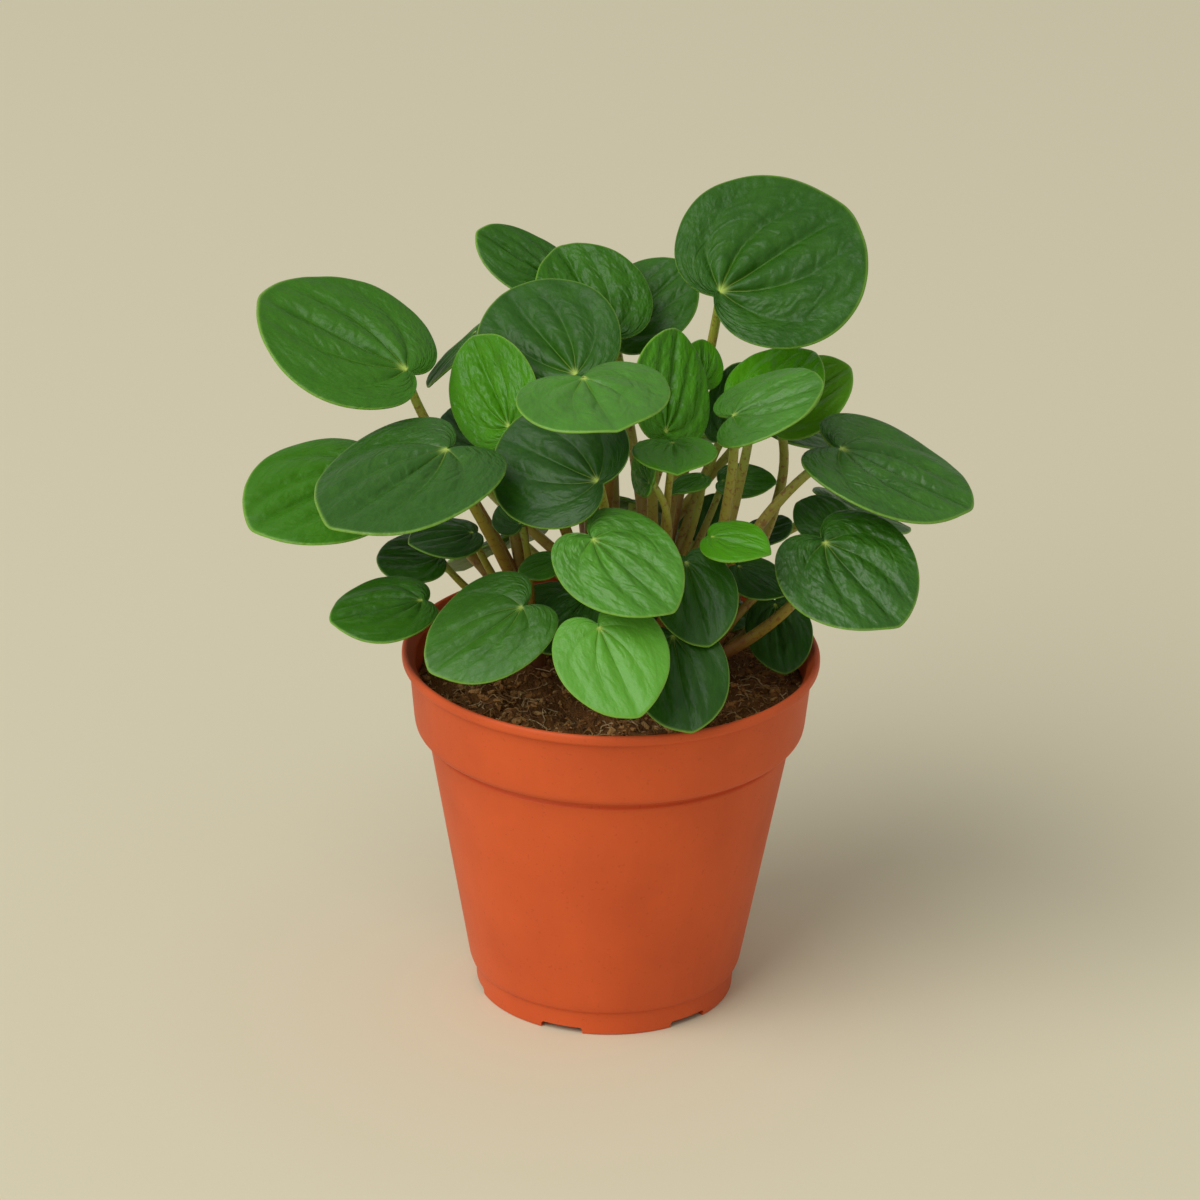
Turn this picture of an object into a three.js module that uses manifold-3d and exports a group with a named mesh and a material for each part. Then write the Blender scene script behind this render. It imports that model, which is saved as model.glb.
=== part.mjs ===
// Potted peperomia: a moulded plastic nursery pot filled with peat, five short crowns that stand in
// the peat, and fleshy heart-shaped blades, each at the end of its own petiole.
// Millimetres, +Z up. The origin lies on the ground in the middle of the pot. -Y is the front.

import * as THREE from "three";
import { mergeVertices } from "three/addons/utils/BufferGeometryUtils.js";
import Module from "manifold-3d";

const wasm = await Module();
wasm.setup();

// ---- Driving dimensions: pot ----
const ROUND_SIDES = 48;
const POT_HEIGHT = 92;
const LIP_RADIUS = 52.5;
const LIP_INNER_RADIUS = 51.3;
const LIP_DEPTH = 2.9;
const COLLAR_TOP_RADIUS = 50.7;
const COLLAR_BOTTOM_RADIUS = 49.2;
const COLLAR_BOTTOM = 71.2;
const COLLAR_ROUNDING = 3;
const COLLAR_LEDGE = 1.2;
const EDGE = 0.4;
const LIP_EDGE = 0.3;
const BODY_TOP_RADIUS = 46;
const BODY_BOTTOM_RADIUS = 34.6;
const BODY_BOTTOM = 8.6;
const FOOT_HEIGHT = 6.3;
const FOOT_RADIUS = 32.6;
const FOOT_THICKNESS = 2;
const WALL = 1.4;
const FLOOR_UNDERSIDE = 4.2;
const FLOOR_TOP = FLOOR_UNDERSIDE + WALL;
const FLOOR_CORNER = 1;
const NOTCH_COUNT = 6;
const NOTCH_WIDTH = 11;
const NOTCH_HEIGHT = 1.7;
const NOTCH_START = -109;
const DRAIN_RADIUS = 3.5;
const DRAIN_RING_RADIUS = 21;
const DRAIN_SIDES = 12;

// ---- Driving dimensions: soil and crowns ----
const CLEARANCE = 0.3;
const SOIL_TOP = 83;
const SOIL_RELIEF = 1.3;
const SOIL_MARGIN = 12;
const SOIL_RINGS = [40, 30, 19, 8, 0];
const ROOT_DEPTH = 16;
const CROWN_RADIUS = 3.8;
const CROWN_SIDES = 8;
const CROWN_EDGE = 1;
const CROWN_SHOULDER = 2;
const HOLE_SIDES = 16;

// ---- Driving dimensions: petioles and blades ----
const PETIOLE_BASE_RADIUS = 1.75;
const PETIOLE_END_RADIUS = 1.1;
const PETIOLE_SIDES = 6;
const PETIOLE_STEPS = 5;
const BLADE_THICKNESS = 1.1;
const RIM_THICKNESS = 0.75;
const SINUS_SPREAD = 0.33;
const TIP_SPREAD = 0.25;
const LARGE_LEAF = 19;
const SMALL_PETIOLE = 0.75;
const LARGE_MESH = { spokes: 16, rings: 3 };
const SMALL_MESH = { spokes: 12, rings: 2 };

// How a petiole runs: the share of its length after which it bends, how much it leaves upwards, how
// much it comes in square to the blade, more so for a blade that faces back to its crown, and how much
// it turns on along the midrib.
const BEND_START = 0.35;
const BEND_END = 0.3;
const LEAVE_UP = 0.5;
const SQUARE = 0.9;
const SQUARE_MORE = 1.2;
const FACING = 0.5;
const TURN_ON = 0.2;

// How high on its crown a petiole starts: a low blade's low, a high blade's high.
const LOW_JOINT = 15;
const JOINT_RANGE = 90;
const LOWEST_START = 0.1;
const HIGHEST_START = 0.85;

const PLASTIC = { color: "#c4552f", roughness: 0.45, metalness: 0 };
const PEAT = { color: "#4a3020", roughness: 0.95, metalness: 0 };
const STALK = { color: "#8f7a34", roughness: 0.5, metalness: 0 };
const BLADE_TONES = {
  old: { color: "#2f6b2c", roughness: 0.42, metalness: 0 },
  heart: { color: "#3f8242", roughness: 0.4, metalness: 0 },
  young: { color: "#3f9a24", roughness: 0.38, metalness: 0 },
};

// The form of a blade: how far the lobes reach behind the joint, how deep the sinus cuts, how much
// wider the blade is near the joint, how far the tip is drawn out, how the midrib arches down, how
// the sides cup down, how the two halves fold up, and how the margin waves.
const FORMS = {
  old: { lobe: 0.2, sinus: 0.72, egg: 0.03, tip: 0.03, arch: 0.06, cup: -0.07, fold: 0, wave: 0.02 },
  heart: { lobe: 0.32, sinus: 0.86, egg: 0.07, tip: 0.05, arch: 0.07, cup: -0.06, fold: 0, wave: 0.02 },
  young: { lobe: 0.18, sinus: 0.6, egg: 0.1, tip: 0.07, arch: 0.06, cup: -0.1, fold: 0.14, wave: 0.015 },
};

// Crowns: place on the soil and height above it.
const CROWNS = {
  left: { x: -20, y: 6, height: 17 },
  middle: { x: -5, y: 11, height: 22 },
  right: { x: 11, y: 3, height: 22 },
  outer: { x: 23, y: -1, height: 16 },
  back: { x: 1, y: 27, height: 18 },
};

// Blades: crown, place of the joint, heading of the midrib counted from +X towards +Y, its lift above
// the level, the blade's turn about it, length from joint to tip, width, form, and where the petiole
// swings out of the straight way on its route.
const LEAVES = [
  ["left", [-52, 0, 166], 165, 25, 20, 40, 41, "old", [0, 4, 0]],
  ["left", [-41, -22, 154], -135, -10, 5, 38, 43, "heart"],
  ["left", [-61.5, 8, 136], -145, -10, 20, 34, 36, "old", [0, 6, 4]],
  ["left", [-47, -16, 111], -165, -5, 15, 23, 24, "old"],
  ["left", [-43, 2, 115], 170, 0, 20, 16, 19, "old"],
  ["left", [-35, -1, 123], -165, 0, 10, 16, 18, "old"],
  ["left", [-22, -32, 117], -150, -23, 30, 27, 27, "heart"],
  ["middle", [-6, -16, 113], -135, -30, 20, 18, 16, "old"],
  ["middle", [-14, -14, 122], -155, -10, 20, 10, 9, "old"],
  ["middle", [-4, -30, 150], 145, 10, 40, 30, 36, "old"],
  ["middle", [-26, -6, 154], 120, 35, 55, 27, 25, "young"],
  ["middle", [-8, -26, 175], -70, -5, -5, 24, 38, "heart", [7, 13, 12]],
  ["right", [-5, -38, 138], -40, -20, -25, 27, 29, "heart"],
  ["middle", [-10, 2, 165], 130, 25, 35, 32, 36, "old"],
  ["middle", [-14, 50, 169.5], 168, 32, 29, 25.5, 19, "old"],
  ["middle", [-1.5, 26, 166.5], 125, 35, 20, 28, 29, "young"],
  ["right", [-1, 40, 162], 30, 35, -20, 25, 28, "old"],
  ["right", [25.2, 18, 181.5], 25, 28, -32, 38.5, 52, "old", [2, 17, 0]],
  ["right", [21, 16, 158], 85, 40, -25, 12, 11, "young"],
  ["right", [12, -5, 153], 80, 45, -40, 27, 23, "young"],
  ["right", [27, 18, 143], 60, 50, -40, 20, 15, "old"],
  ["outer", [29, -6, 158], -5, 28, -15, 23, 28, "heart"],
  ["outer", [34, 10, 152.5], 45, 30, -15, 23, 24, "young"],
  ["outer", [40, 24, 146], 15, 35, -25, 22, 23, "old", [8, 4, 0]],
  ["outer", [55.7, 2, 146.5], -15, -15, -10, 34.6, 37.5, "heart", [-3, 0, 8]],
  ["outer", [52, -16, 129], -45, -25, -20, 28, 35, "heart", [4, -4, -6]],
  ["outer", [56, 8, 122], 135, 20, 25, 14, 14, "old", [0, 2, 6]],
  ["right", [27, 19, 130], -5, 5, -15, 13, 14, "young"],
  ["outer", [24, -26, 134], -25, 0, -20, 15, 15, "young", [5, 5, 9]],
  ["outer", [35, 24, 113], 20, 20, -10, 11, 12, "old"],
  ["outer", [31, -9, 119], -30, -15, -15, 14, 14, "old"],
  ["right", [18, -25, 127], -70, -40, -15, 22, 21, "old"],
  ["right", [15, -36, 112], -75, -40, -10, 25, 24, "old"],
  ["outer", [41, 9, 101], -80, -35, -5, 19, 17, "old"],
  ["right", [-3, -50, 120], -60, -35, -20, 24, 28, "heart"],
  ["left", [-31, 10, 141], 130, 15, 35, 19, 17, "old"],
  ["left", [-35, 24, 167], -160, -40, -15, 18, 15, "old"],
  ["right", [14, -17, 155], -85, -5, 0, 14, 21, "young"],
  ["right", [9, -16, 144], 105, 10, 70, 17, 11, "young"],
  ["right", [22, 2, 138], -140, -5, 5, 10, 8, "young"],
  ["right", [23, 22, 113], 65, 35, -30, 14, 13, "old"],
  ["left", [-23, -4, 127], 120, 10, 30, 11, 11, "old"],
  ["back", [-36, 42, 122], 150, -20, 0, 30, 31, "old"],
  ["back", [56, 40, 117], 30, -25, 0, 24, 25, "old"],
  ["back", [-16, 43, 133], 115, -25, 0, 28, 29, "heart"],
  ["back", [5, 47, 112], 82, -42, 0, 27, 29, "old"],
  ["back", [-25, 44, 104], 130, -35, 0, 27, 28, "old"],
  ["back", [14, 42, 134], 60, -20, 0, 28, 29, "young"],
  ["back", [-1, 42, 146], 88, -8, 0, 24, 26, "young"],
  ["back", [-10, 26, 95], -160, -10, 15, 18, 17, "old"],
  ["back", [19, 22, 96], -10, -10, -15, 17, 16, "old"],
  ["back", [22, 44, 104], 60, -40, 0, 26, 27, "old"],
  ["back", [36, 36, 141], 30, -20, -10, 24, 24, "old"],
];

const DEGREE = Math.PI / 180;

/** Merge the shared corners of a closed geometry, so that only positions are left. */
function weld(geometry) {
  const bare = geometry.clone();
  bare.deleteAttribute("normal");
  bare.deleteAttribute("uv");
  return mergeVertices(bare, 1e-4);
}

/** A closed geometry as a solid that can be cut and joined. */
function solid(geometry) {
  const merged = weld(geometry);
  const mesh = new wasm.Mesh({
    numProp: 3,
    vertProperties: new Float32Array(merged.attributes.position.array),
    triVerts: new Uint32Array(merged.index.array),
  });
  return new wasm.Manifold(mesh);
}

/** The surface of a solid, back as a geometry. */
function surface(body) {
  const mesh = body.getMesh();
  const geometry = new THREE.BufferGeometry();
  geometry.setAttribute("position", new THREE.BufferAttribute(mesh.vertProperties, 3));
  geometry.setIndex(new THREE.BufferAttribute(mesh.triVerts, 1));
  return geometry;
}

/** One named piece with its own finish. */
function piece(name, geometry, finish) {
  const mesh = new THREE.Mesh(geometry, new THREE.MeshStandardMaterial(finish));
  mesh.name = name;
  return mesh;
}

/** A profile of [radius, height] points turned round the upright axis. */
function turned(profile, sides = ROUND_SIDES) {
  const points = profile.map(([radius, height]) => new THREE.Vector2(radius, height));
  return new THREE.LatheGeometry(points, sides).rotateX(Math.PI / 2);
}

/** An upright cylinder between two heights. */
function post(radius, bottom, top, x, y, sides) {
  const height = top - bottom;
  const geometry = new THREE.CylinderGeometry(radius, radius, height, sides);
  return geometry.rotateX(Math.PI / 2).translate(x, y, bottom + height / 2);
}

// ---- Pot ----

/** Radius of the pot's inner wall at a height. */
function innerRadius(height) {
  if (height > COLLAR_BOTTOM) {
    const rise = (height - COLLAR_BOTTOM) / (POT_HEIGHT - COLLAR_BOTTOM);
    return COLLAR_BOTTOM_RADIUS - WALL + rise * (COLLAR_TOP_RADIUS - COLLAR_BOTTOM_RADIUS);
  }
  const rise = (height - BODY_BOTTOM) / (COLLAR_BOTTOM - BODY_BOTTOM);
  return BODY_BOTTOM_RADIUS - WALL + rise * (BODY_TOP_RADIUS - BODY_BOTTOM_RADIUS);
}

function makePot() {
  const lipUnderside = POT_HEIGHT - LIP_DEPTH;
  const ledge = COLLAR_BOTTOM + WALL;
  const profile = [
    [0, FLOOR_UNDERSIDE],
    [FOOT_RADIUS - FOOT_THICKNESS, FLOOR_UNDERSIDE],
    [FOOT_RADIUS - FOOT_THICKNESS, 0],
    [FOOT_RADIUS, 0],
    [FOOT_RADIUS + EDGE, FOOT_HEIGHT],
    [BODY_BOTTOM_RADIUS - 1.5 * EDGE, FOOT_HEIGHT + 1.5 * EDGE],
    [BODY_BOTTOM_RADIUS, BODY_BOTTOM],
    [BODY_TOP_RADIUS, COLLAR_BOTTOM],
    [COLLAR_BOTTOM_RADIUS - COLLAR_LEDGE, COLLAR_BOTTOM + EDGE],
    [COLLAR_BOTTOM_RADIUS - COLLAR_LEDGE / 4, COLLAR_BOTTOM + COLLAR_ROUNDING / 2],
    [COLLAR_BOTTOM_RADIUS, COLLAR_BOTTOM + COLLAR_ROUNDING],
    [COLLAR_TOP_RADIUS, lipUnderside],
    [LIP_RADIUS - LIP_EDGE, lipUnderside + LIP_EDGE],
    [LIP_RADIUS, lipUnderside + 3 * LIP_EDGE],
    [LIP_RADIUS, POT_HEIGHT - 2 * LIP_EDGE],
    [LIP_RADIUS - EDGE, POT_HEIGHT],
    [LIP_INNER_RADIUS, POT_HEIGHT],
    [innerRadius(lipUnderside), lipUnderside],
    [innerRadius(ledge + COLLAR_LEDGE), ledge + COLLAR_LEDGE],
    [innerRadius(COLLAR_BOTTOM), ledge],
    [innerRadius(BODY_BOTTOM), BODY_BOTTOM],
    [innerRadius(BODY_BOTTOM) - FLOOR_CORNER, FLOOR_TOP],
    [0, FLOOR_TOP],
  ];
  let pot = solid(turned(profile));
  for (let i = 0; i < NOTCH_COUNT; i += 1) {
    const angle = (NOTCH_START + (i * 360) / NOTCH_COUNT) * DEGREE;
    const box = new THREE.BoxGeometry(4 * FOOT_THICKNESS, NOTCH_WIDTH, 2 * NOTCH_HEIGHT);
    pot = pot.subtract(solid(box.translate(FOOT_RADIUS, 0, 0).rotateZ(angle)));
    const around = angle + Math.PI / NOTCH_COUNT;
    const x = DRAIN_RING_RADIUS * Math.cos(around);
    const y = DRAIN_RING_RADIUS * Math.sin(around);
    pot = pot.subtract(solid(post(DRAIN_RADIUS, 0, 2 * FLOOR_TOP, x, y, DRAIN_SIDES)));
  }
  pot = pot.subtract(solid(post(DRAIN_RADIUS, 0, 2 * FLOOR_TOP, 0, 0, DRAIN_SIDES)));
  return piece("pot", surface(pot), PLASTIC);
}

// ---- Soil ----

/** Rise of the peat's surface above its mean level, level at the pot's wall. */
function soilRise(x, y) {
  const radius = Math.hypot(x, y);
  const fade = Math.min(1, (innerRadius(SOIL_TOP) - radius) / SOIL_MARGIN);
  const lumps = Math.sin(x * 0.31 + 1.7) * Math.cos(y * 0.27) + 0.6 * Math.sin(x * 0.53 - y * 0.61);
  return SOIL_RELIEF * fade * (0.6 + lumps);
}

function makeSoil() {
  const wallRadius = (height) => innerRadius(height) - CLEARANCE;
  const bottom = FLOOR_TOP + CLEARANCE;
  const ledge = COLLAR_BOTTOM + WALL + CLEARANCE;
  const profile = [
    [0, bottom],
    [wallRadius(BODY_BOTTOM) - FLOOR_CORNER, bottom],
    [wallRadius(BODY_BOTTOM), BODY_BOTTOM + CLEARANCE],
    [wallRadius(COLLAR_BOTTOM), ledge],
    [wallRadius(ledge + COLLAR_LEDGE), ledge + COLLAR_LEDGE],
    [wallRadius(SOIL_TOP), SOIL_TOP],
    ...SOIL_RINGS.map((radius) => [radius, SOIL_TOP]),
  ];
  const geometry = turned(profile);
  const position = geometry.attributes.position;
  for (let i = 0; i < position.count; i += 1) {
    if (position.getZ(i) > SOIL_TOP - 0.01) {
      position.setZ(i, SOIL_TOP + soilRise(position.getX(i), position.getY(i)));
    }
  }
  let soil = solid(geometry);
  for (const crown of Object.values(CROWNS)) {
    const bottomOfHole = SOIL_TOP - ROOT_DEPTH - CLEARANCE;
    const radius = CROWN_RADIUS + 2 * CLEARANCE;
    const hole = post(radius, bottomOfHole, POT_HEIGHT, crown.x, crown.y, HOLE_SIDES);
    soil = soil.subtract(solid(hole));
  }
  return piece("soil", surface(soil), PEAT);
}

// ---- Leaves ----

/** A leaf's measures and its own axes: along the midrib, across to the left, and out of the face. */
function readLeaf(row, index) {
  const [crown, joint, heading, lift, turn, length, width, form, swing] = row;
  const along = new THREE.Vector3(
    Math.cos(lift * DEGREE) * Math.cos(heading * DEGREE),
    Math.cos(lift * DEGREE) * Math.sin(heading * DEGREE),
    Math.sin(lift * DEGREE),
  );
  const level = new THREE.Vector3(-Math.sin(heading * DEGREE), Math.cos(heading * DEGREE), 0);
  const upright = new THREE.Vector3().crossVectors(along, level);
  const face = upright.clone().multiplyScalar(Math.cos(turn * DEGREE));
  face.addScaledVector(level, Math.sin(turn * DEGREE));
  const across = new THREE.Vector3().crossVectors(face, along);
  return {
    name: `leaf_${String(index + 1).padStart(2, "0")}`,
    index,
    crown,
    joint: new THREE.Vector3(...joint),
    along,
    across,
    face,
    length,
    width,
    tone: form,
    swing: new THREE.Vector3(...(swing ?? [0, 0, 0])),
    ...FORMS[form],
  };
}

/** Outline of a blade. The turn runs from -PI to PI, with 0 at the tip and the sinus at both ends. */
function outline(leaf, turn) {
  const lobeReach = leaf.lobe * leaf.length;
  const halfLength = (leaf.length + lobeReach) / 2;
  const tipShare = Math.exp(-Math.abs(turn) / TIP_SPREAD);
  const sinusShare = Math.exp(-(((Math.PI - Math.abs(turn)) / SINUS_SPREAD) ** 2));
  const keep = 1 - leaf.sinus * sinusShare;
  const u = halfLength * (1 + Math.cos(turn)) - lobeReach + leaf.tip * leaf.length * tipShare;
  const v = (leaf.width / 2) * Math.sin(turn) * (1 - leaf.egg * Math.cos(turn));
  return [u * keep, v * keep];
}

/** How far the blade's middle surface stands out of its plane, at a share of the way to the margin. */
function relief(leaf, u, v, turn, share) {
  const arch = (-leaf.arch * u * u) / leaf.length;
  const cup = (leaf.cup * v * v) / (leaf.width / 2);
  const fold = leaf.fold * Math.abs(v);
  const wave = leaf.wave * leaf.length * share ** 3 * Math.sin(3 * turn + 2.4 * leaf.index);
  return arch + cup + fold + wave;
}

/** A blade as one closed body: two alike faces, split into the same triangles, and a rim. */
function makeBlade(leaf) {
  const { spokes, rings } = leaf.length >= LARGE_LEAF ? LARGE_MESH : SMALL_MESH;
  const positions = [];
  const triangles = [];
  for (const side of [1, -1]) {
    for (let ring = 0; ring <= rings; ring += 1) {
      const share = ring / rings;
      const thickness = BLADE_THICKNESS + (RIM_THICKNESS - BLADE_THICKNESS) * share * share;
      const count = ring === 0 ? 1 : spokes;
      for (let spoke = 0; spoke < count; spoke += 1) {
        const turn = -Math.PI + (2 * Math.PI * spoke) / spokes;
        const [rimU, rimV] = outline(leaf, turn);
        const u = rimU * share;
        const v = rimV * share;
        const w = relief(leaf, u, v, turn, share) + (side * thickness) / 2;
        const point = leaf.joint.clone();
        point.addScaledVector(leaf.along, u);
        point.addScaledVector(leaf.across, v);
        point.addScaledVector(leaf.face, w);
        positions.push(point.x, point.y, point.z);
      }
    }
  }
  const faceCount = 1 + rings * spokes;
  const corner = (ring, spoke) => (ring === 0 ? 0 : 1 + (ring - 1) * spokes + (spoke % spokes));
  const add = (a, b, c) => {
    triangles.push(a, b, c);
    triangles.push(faceCount + a, faceCount + c, faceCount + b);
  };
  for (let spoke = 0; spoke < spokes; spoke += 1) {
    add(0, corner(1, spoke), corner(1, spoke + 1));
    for (let ring = 1; ring < rings; ring += 1) {
      add(corner(ring, spoke), corner(ring + 1, spoke), corner(ring + 1, spoke + 1));
      add(corner(ring, spoke), corner(ring + 1, spoke + 1), corner(ring, spoke + 1));
    }
    const here = corner(rings, spoke);
    const next = corner(rings, spoke + 1);
    triangles.push(here, faceCount + here, faceCount + next);
    triangles.push(here, faceCount + next, next);
  }
  const geometry = new THREE.BufferGeometry();
  geometry.setAttribute("position", new THREE.Float32BufferAttribute(positions, 3));
  geometry.setIndex(triangles);
  return piece(leaf.name, geometry, BLADE_TONES[leaf.tone]);
}

// ---- Crowns and petioles ----

/** The way of a petiole, from inside its crown to just under its blade's joint. */
function petioleRoute(leaf) {
  const crown = CROWNS[leaf.crown];
  const share = (leaf.joint.z - SOIL_TOP - LOW_JOINT) / JOINT_RANGE;
  const climb = THREE.MathUtils.clamp(share, LOWEST_START, HIGHEST_START);
  const start = new THREE.Vector3(crown.x, crown.y, SOIL_TOP + climb * crown.height);
  const reach = leaf.joint.clone().sub(start);
  const distance = reach.length();
  const outward = reach.clone().normalize();
  const square = SQUARE + SQUARE_MORE * Math.max(0, FACING - outward.dot(leaf.face));
  const arrive = outward.clone().addScaledVector(leaf.face, square);
  arrive.addScaledVector(leaf.along, TURN_ON).normalize();
  const leave = outward.clone().add(new THREE.Vector3(0, 0, LEAVE_UP)).normalize();
  const first = start.clone().addScaledVector(leave, distance * BEND_START).add(leaf.swing);
  const second = leaf.joint.clone().addScaledVector(arrive, -distance * BEND_END).add(leaf.swing);
  const last = leaf.joint.clone().sub(second).normalize();
  const tilt = Math.sqrt(Math.max(0, 1 - last.dot(leaf.face) ** 2));
  const drop = BLADE_THICKNESS / 2 + CLEARANCE + 1.2 * PETIOLE_END_RADIUS * tilt;
  const end = leaf.joint.clone().addScaledVector(leaf.face, -drop);
  return new THREE.CubicBezierCurve3(start, first, second, end);
}

/** A closed round stalk along a curve that gets thinner towards its end. */
function makeStalk(curve, startRadius, endRadius, sides, steps) {
  const frames = curve.computeFrenetFrames(steps, false);
  const positions = [];
  const triangles = [];
  for (let step = 0; step <= steps; step += 1) {
    const centre = curve.getPointAt(step / steps);
    const radius = startRadius + ((endRadius - startRadius) * step) / steps;
    for (let side = 0; side < sides; side += 1) {
      const angle = (2 * Math.PI * side) / sides;
      const point = centre.clone();
      point.addScaledVector(frames.normals[step], radius * Math.cos(angle));
      point.addScaledVector(frames.binormals[step], radius * Math.sin(angle));
      positions.push(point.x, point.y, point.z);
    }
  }
  for (let step = 0; step < steps; step += 1) {
    for (let side = 0; side < sides; side += 1) {
      const a = step * sides + side;
      const b = step * sides + ((side + 1) % sides);
      triangles.push(a, b, b + sides);
      triangles.push(a, b + sides, a + sides);
    }
  }
  const last = steps * sides;
  for (let side = 1; side < sides - 1; side += 1) {
    triangles.push(0, side + 1, side);
    triangles.push(last, last + side, last + side + 1);
  }
  const geometry = new THREE.BufferGeometry();
  geometry.setAttribute("position", new THREE.Float32BufferAttribute(positions, 3));
  geometry.setIndex(triangles);
  return geometry;
}

function makeCrown(name, crown, leaves) {
  const stump = turned(
    [
      [0, SOIL_TOP - ROOT_DEPTH],
      [CROWN_RADIUS - CROWN_EDGE, SOIL_TOP - ROOT_DEPTH],
      [CROWN_RADIUS, SOIL_TOP - ROOT_DEPTH + CROWN_EDGE],
      [CROWN_RADIUS, SOIL_TOP + CROWN_SHOULDER],
      [CROWN_RADIUS * 0.75, SOIL_TOP + crown.height * 0.8],
      [CROWN_RADIUS * 0.4, SOIL_TOP + crown.height],
      [0, SOIL_TOP + crown.height],
    ],
    CROWN_SIDES,
  );
  let body = solid(stump.translate(crown.x, crown.y, 0));
  for (const leaf of leaves) {
    const route = petioleRoute(leaf);
    const slender = leaf.length >= LARGE_LEAF ? 1 : SMALL_PETIOLE;
    const stalk = makeStalk(
      route,
      PETIOLE_BASE_RADIUS * slender,
      PETIOLE_END_RADIUS * slender,
      PETIOLE_SIDES,
      PETIOLE_STEPS,
    );
    body = body.add(solid(stalk));
  }
  return piece(`stems_${name}`, surface(body), STALK);
}

const plant = new THREE.Group();
const leaves = LEAVES.map(readLeaf);
plant.add(makePot());
plant.add(makeSoil());
for (const [name, crown] of Object.entries(CROWNS)) {
  plant.add(makeCrown(name, crown, leaves.filter((leaf) => leaf.crown === name)));
}
for (const leaf of leaves) {
  plant.add(makeBlade(leaf));
}

export default plant;
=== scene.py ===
# %% [markdown]
# # A potted peperomia
#
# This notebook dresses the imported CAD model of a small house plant: a satin plastic nursery pot, damp
# peat, five crowns with fleshy petioles, and fifty-three round heart-shaped blades. The sizes and places
# are those of the CAD model, repeated here as named values. Blender gives what the eye sees up close:
# the arching veins that are sunk in each blade, the quilted skin between them, the crumbs and fibres of
# the peat, and the finish of every surface. The model is loaded first and stays fixed. Each piece made
# below stands for one of its nodes. Lengths are in millimetres unless a comment says otherwise.

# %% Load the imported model
import math

import bmesh
import bpy
from mathutils import Matrix, Vector, noise


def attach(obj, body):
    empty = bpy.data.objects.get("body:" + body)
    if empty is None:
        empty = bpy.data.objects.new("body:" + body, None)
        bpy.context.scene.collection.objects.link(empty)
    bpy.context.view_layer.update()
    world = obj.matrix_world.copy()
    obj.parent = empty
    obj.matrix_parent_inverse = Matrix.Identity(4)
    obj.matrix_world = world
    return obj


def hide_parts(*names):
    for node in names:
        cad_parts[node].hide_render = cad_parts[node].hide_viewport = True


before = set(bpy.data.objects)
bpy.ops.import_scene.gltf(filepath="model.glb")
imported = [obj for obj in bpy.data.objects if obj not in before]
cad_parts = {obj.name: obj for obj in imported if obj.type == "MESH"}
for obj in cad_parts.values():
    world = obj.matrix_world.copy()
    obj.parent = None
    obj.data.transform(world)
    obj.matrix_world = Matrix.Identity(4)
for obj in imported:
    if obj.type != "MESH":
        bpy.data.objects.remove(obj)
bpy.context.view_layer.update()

MM = 0.001


# %% [markdown]
# ## Camera
#
# The view of the photograph is from about 1.7 metres away, a little from above, through a long lens. A
# camera could be aimed with a Track To constraint, but a constraint hides the roll. Here the three axes
# of the camera are worked out from yaw, pitch and roll, in radians, so each angle can be read.

# %% Place the camera
CAMERA_PLACE = (0, -1510, 772.5)
CAMERA_YAW, CAMERA_PITCH, CAMERA_ROLL = -0.002, 0.416, 0.02
CAMERA_LENS, CAMERA_SENSOR = 198.1, 36
# The nearest and the farthest distance that the camera sees, in metres.
CAMERA_NEAR, CAMERA_FAR = 0.05, 30


def add_object(name, data):
    """A new object in the scene that shows a mesh, a light or a camera."""
    thing = bpy.data.objects.new(name, data)
    bpy.context.scene.collection.objects.link(thing)
    return thing


def place_camera():
    """The scene's camera, looking down at the plant from the front."""
    ahead = Vector((
        math.sin(CAMERA_YAW) * math.cos(CAMERA_PITCH),
        math.cos(CAMERA_YAW) * math.cos(CAMERA_PITCH),
        -math.sin(CAMERA_PITCH),
    ))
    level = Vector((math.cos(CAMERA_YAW), -math.sin(CAMERA_YAW), 0))
    upright = level.cross(ahead)
    right = math.cos(CAMERA_ROLL) * level + math.sin(CAMERA_ROLL) * upright
    up = math.cos(CAMERA_ROLL) * upright - math.sin(CAMERA_ROLL) * level
    data = bpy.data.cameras.new("camera")
    data.lens, data.sensor_width = CAMERA_LENS, CAMERA_SENSOR
    data.clip_start, data.clip_end = CAMERA_NEAR, CAMERA_FAR
    camera = add_object("camera", data)
    turn = Matrix((right, up, -ahead)).transposed().to_4x4()
    camera.matrix_world = Matrix.Translation(Vector(CAMERA_PLACE) * MM) @ turn
    bpy.context.scene.camera = camera
    return camera


print("camera at", [round(value, 3) for value in place_camera().matrix_world.translation])

# %% [markdown]
# ## Floor and light
#
# The plant stands on a plain pale floor. A large soft light stands at the upper left in front of it, as
# a window would, so that the right side of the pot falls into shade and a soft shadow lies behind it on
# the right. The sky of the scene and a faint second light fill the shade. A larger light would soften
# the shadow until the pot seems to float, and a smaller one would draw every blade on the floor. The
# plain view transform keeps the terracotta and the greens as strong as they are. Floor and lights are
# set out in metres.

# %% Lay the floor and hang the light
FLOOR_COLOUR, FLOOR_ROUGHNESS = (0.70, 0.645, 0.46, 1), 0.8
FLOOR_REACH = 6
SKY_COLOUR = (0.98, 0.97, 0.94, 1)
SKY_STRENGTH = 0.45
KEY_PLACE, KEY_SIZE, KEY_WATTS = (-2.2, -2.1, 3.1), 3.7, 150
FILL_PLACE, FILL_SIZE, FILL_WATTS = (1.3, -1.4, 1.0), 1.4, 0.8
AIM = Vector((0, 0, 0.1))


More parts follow.
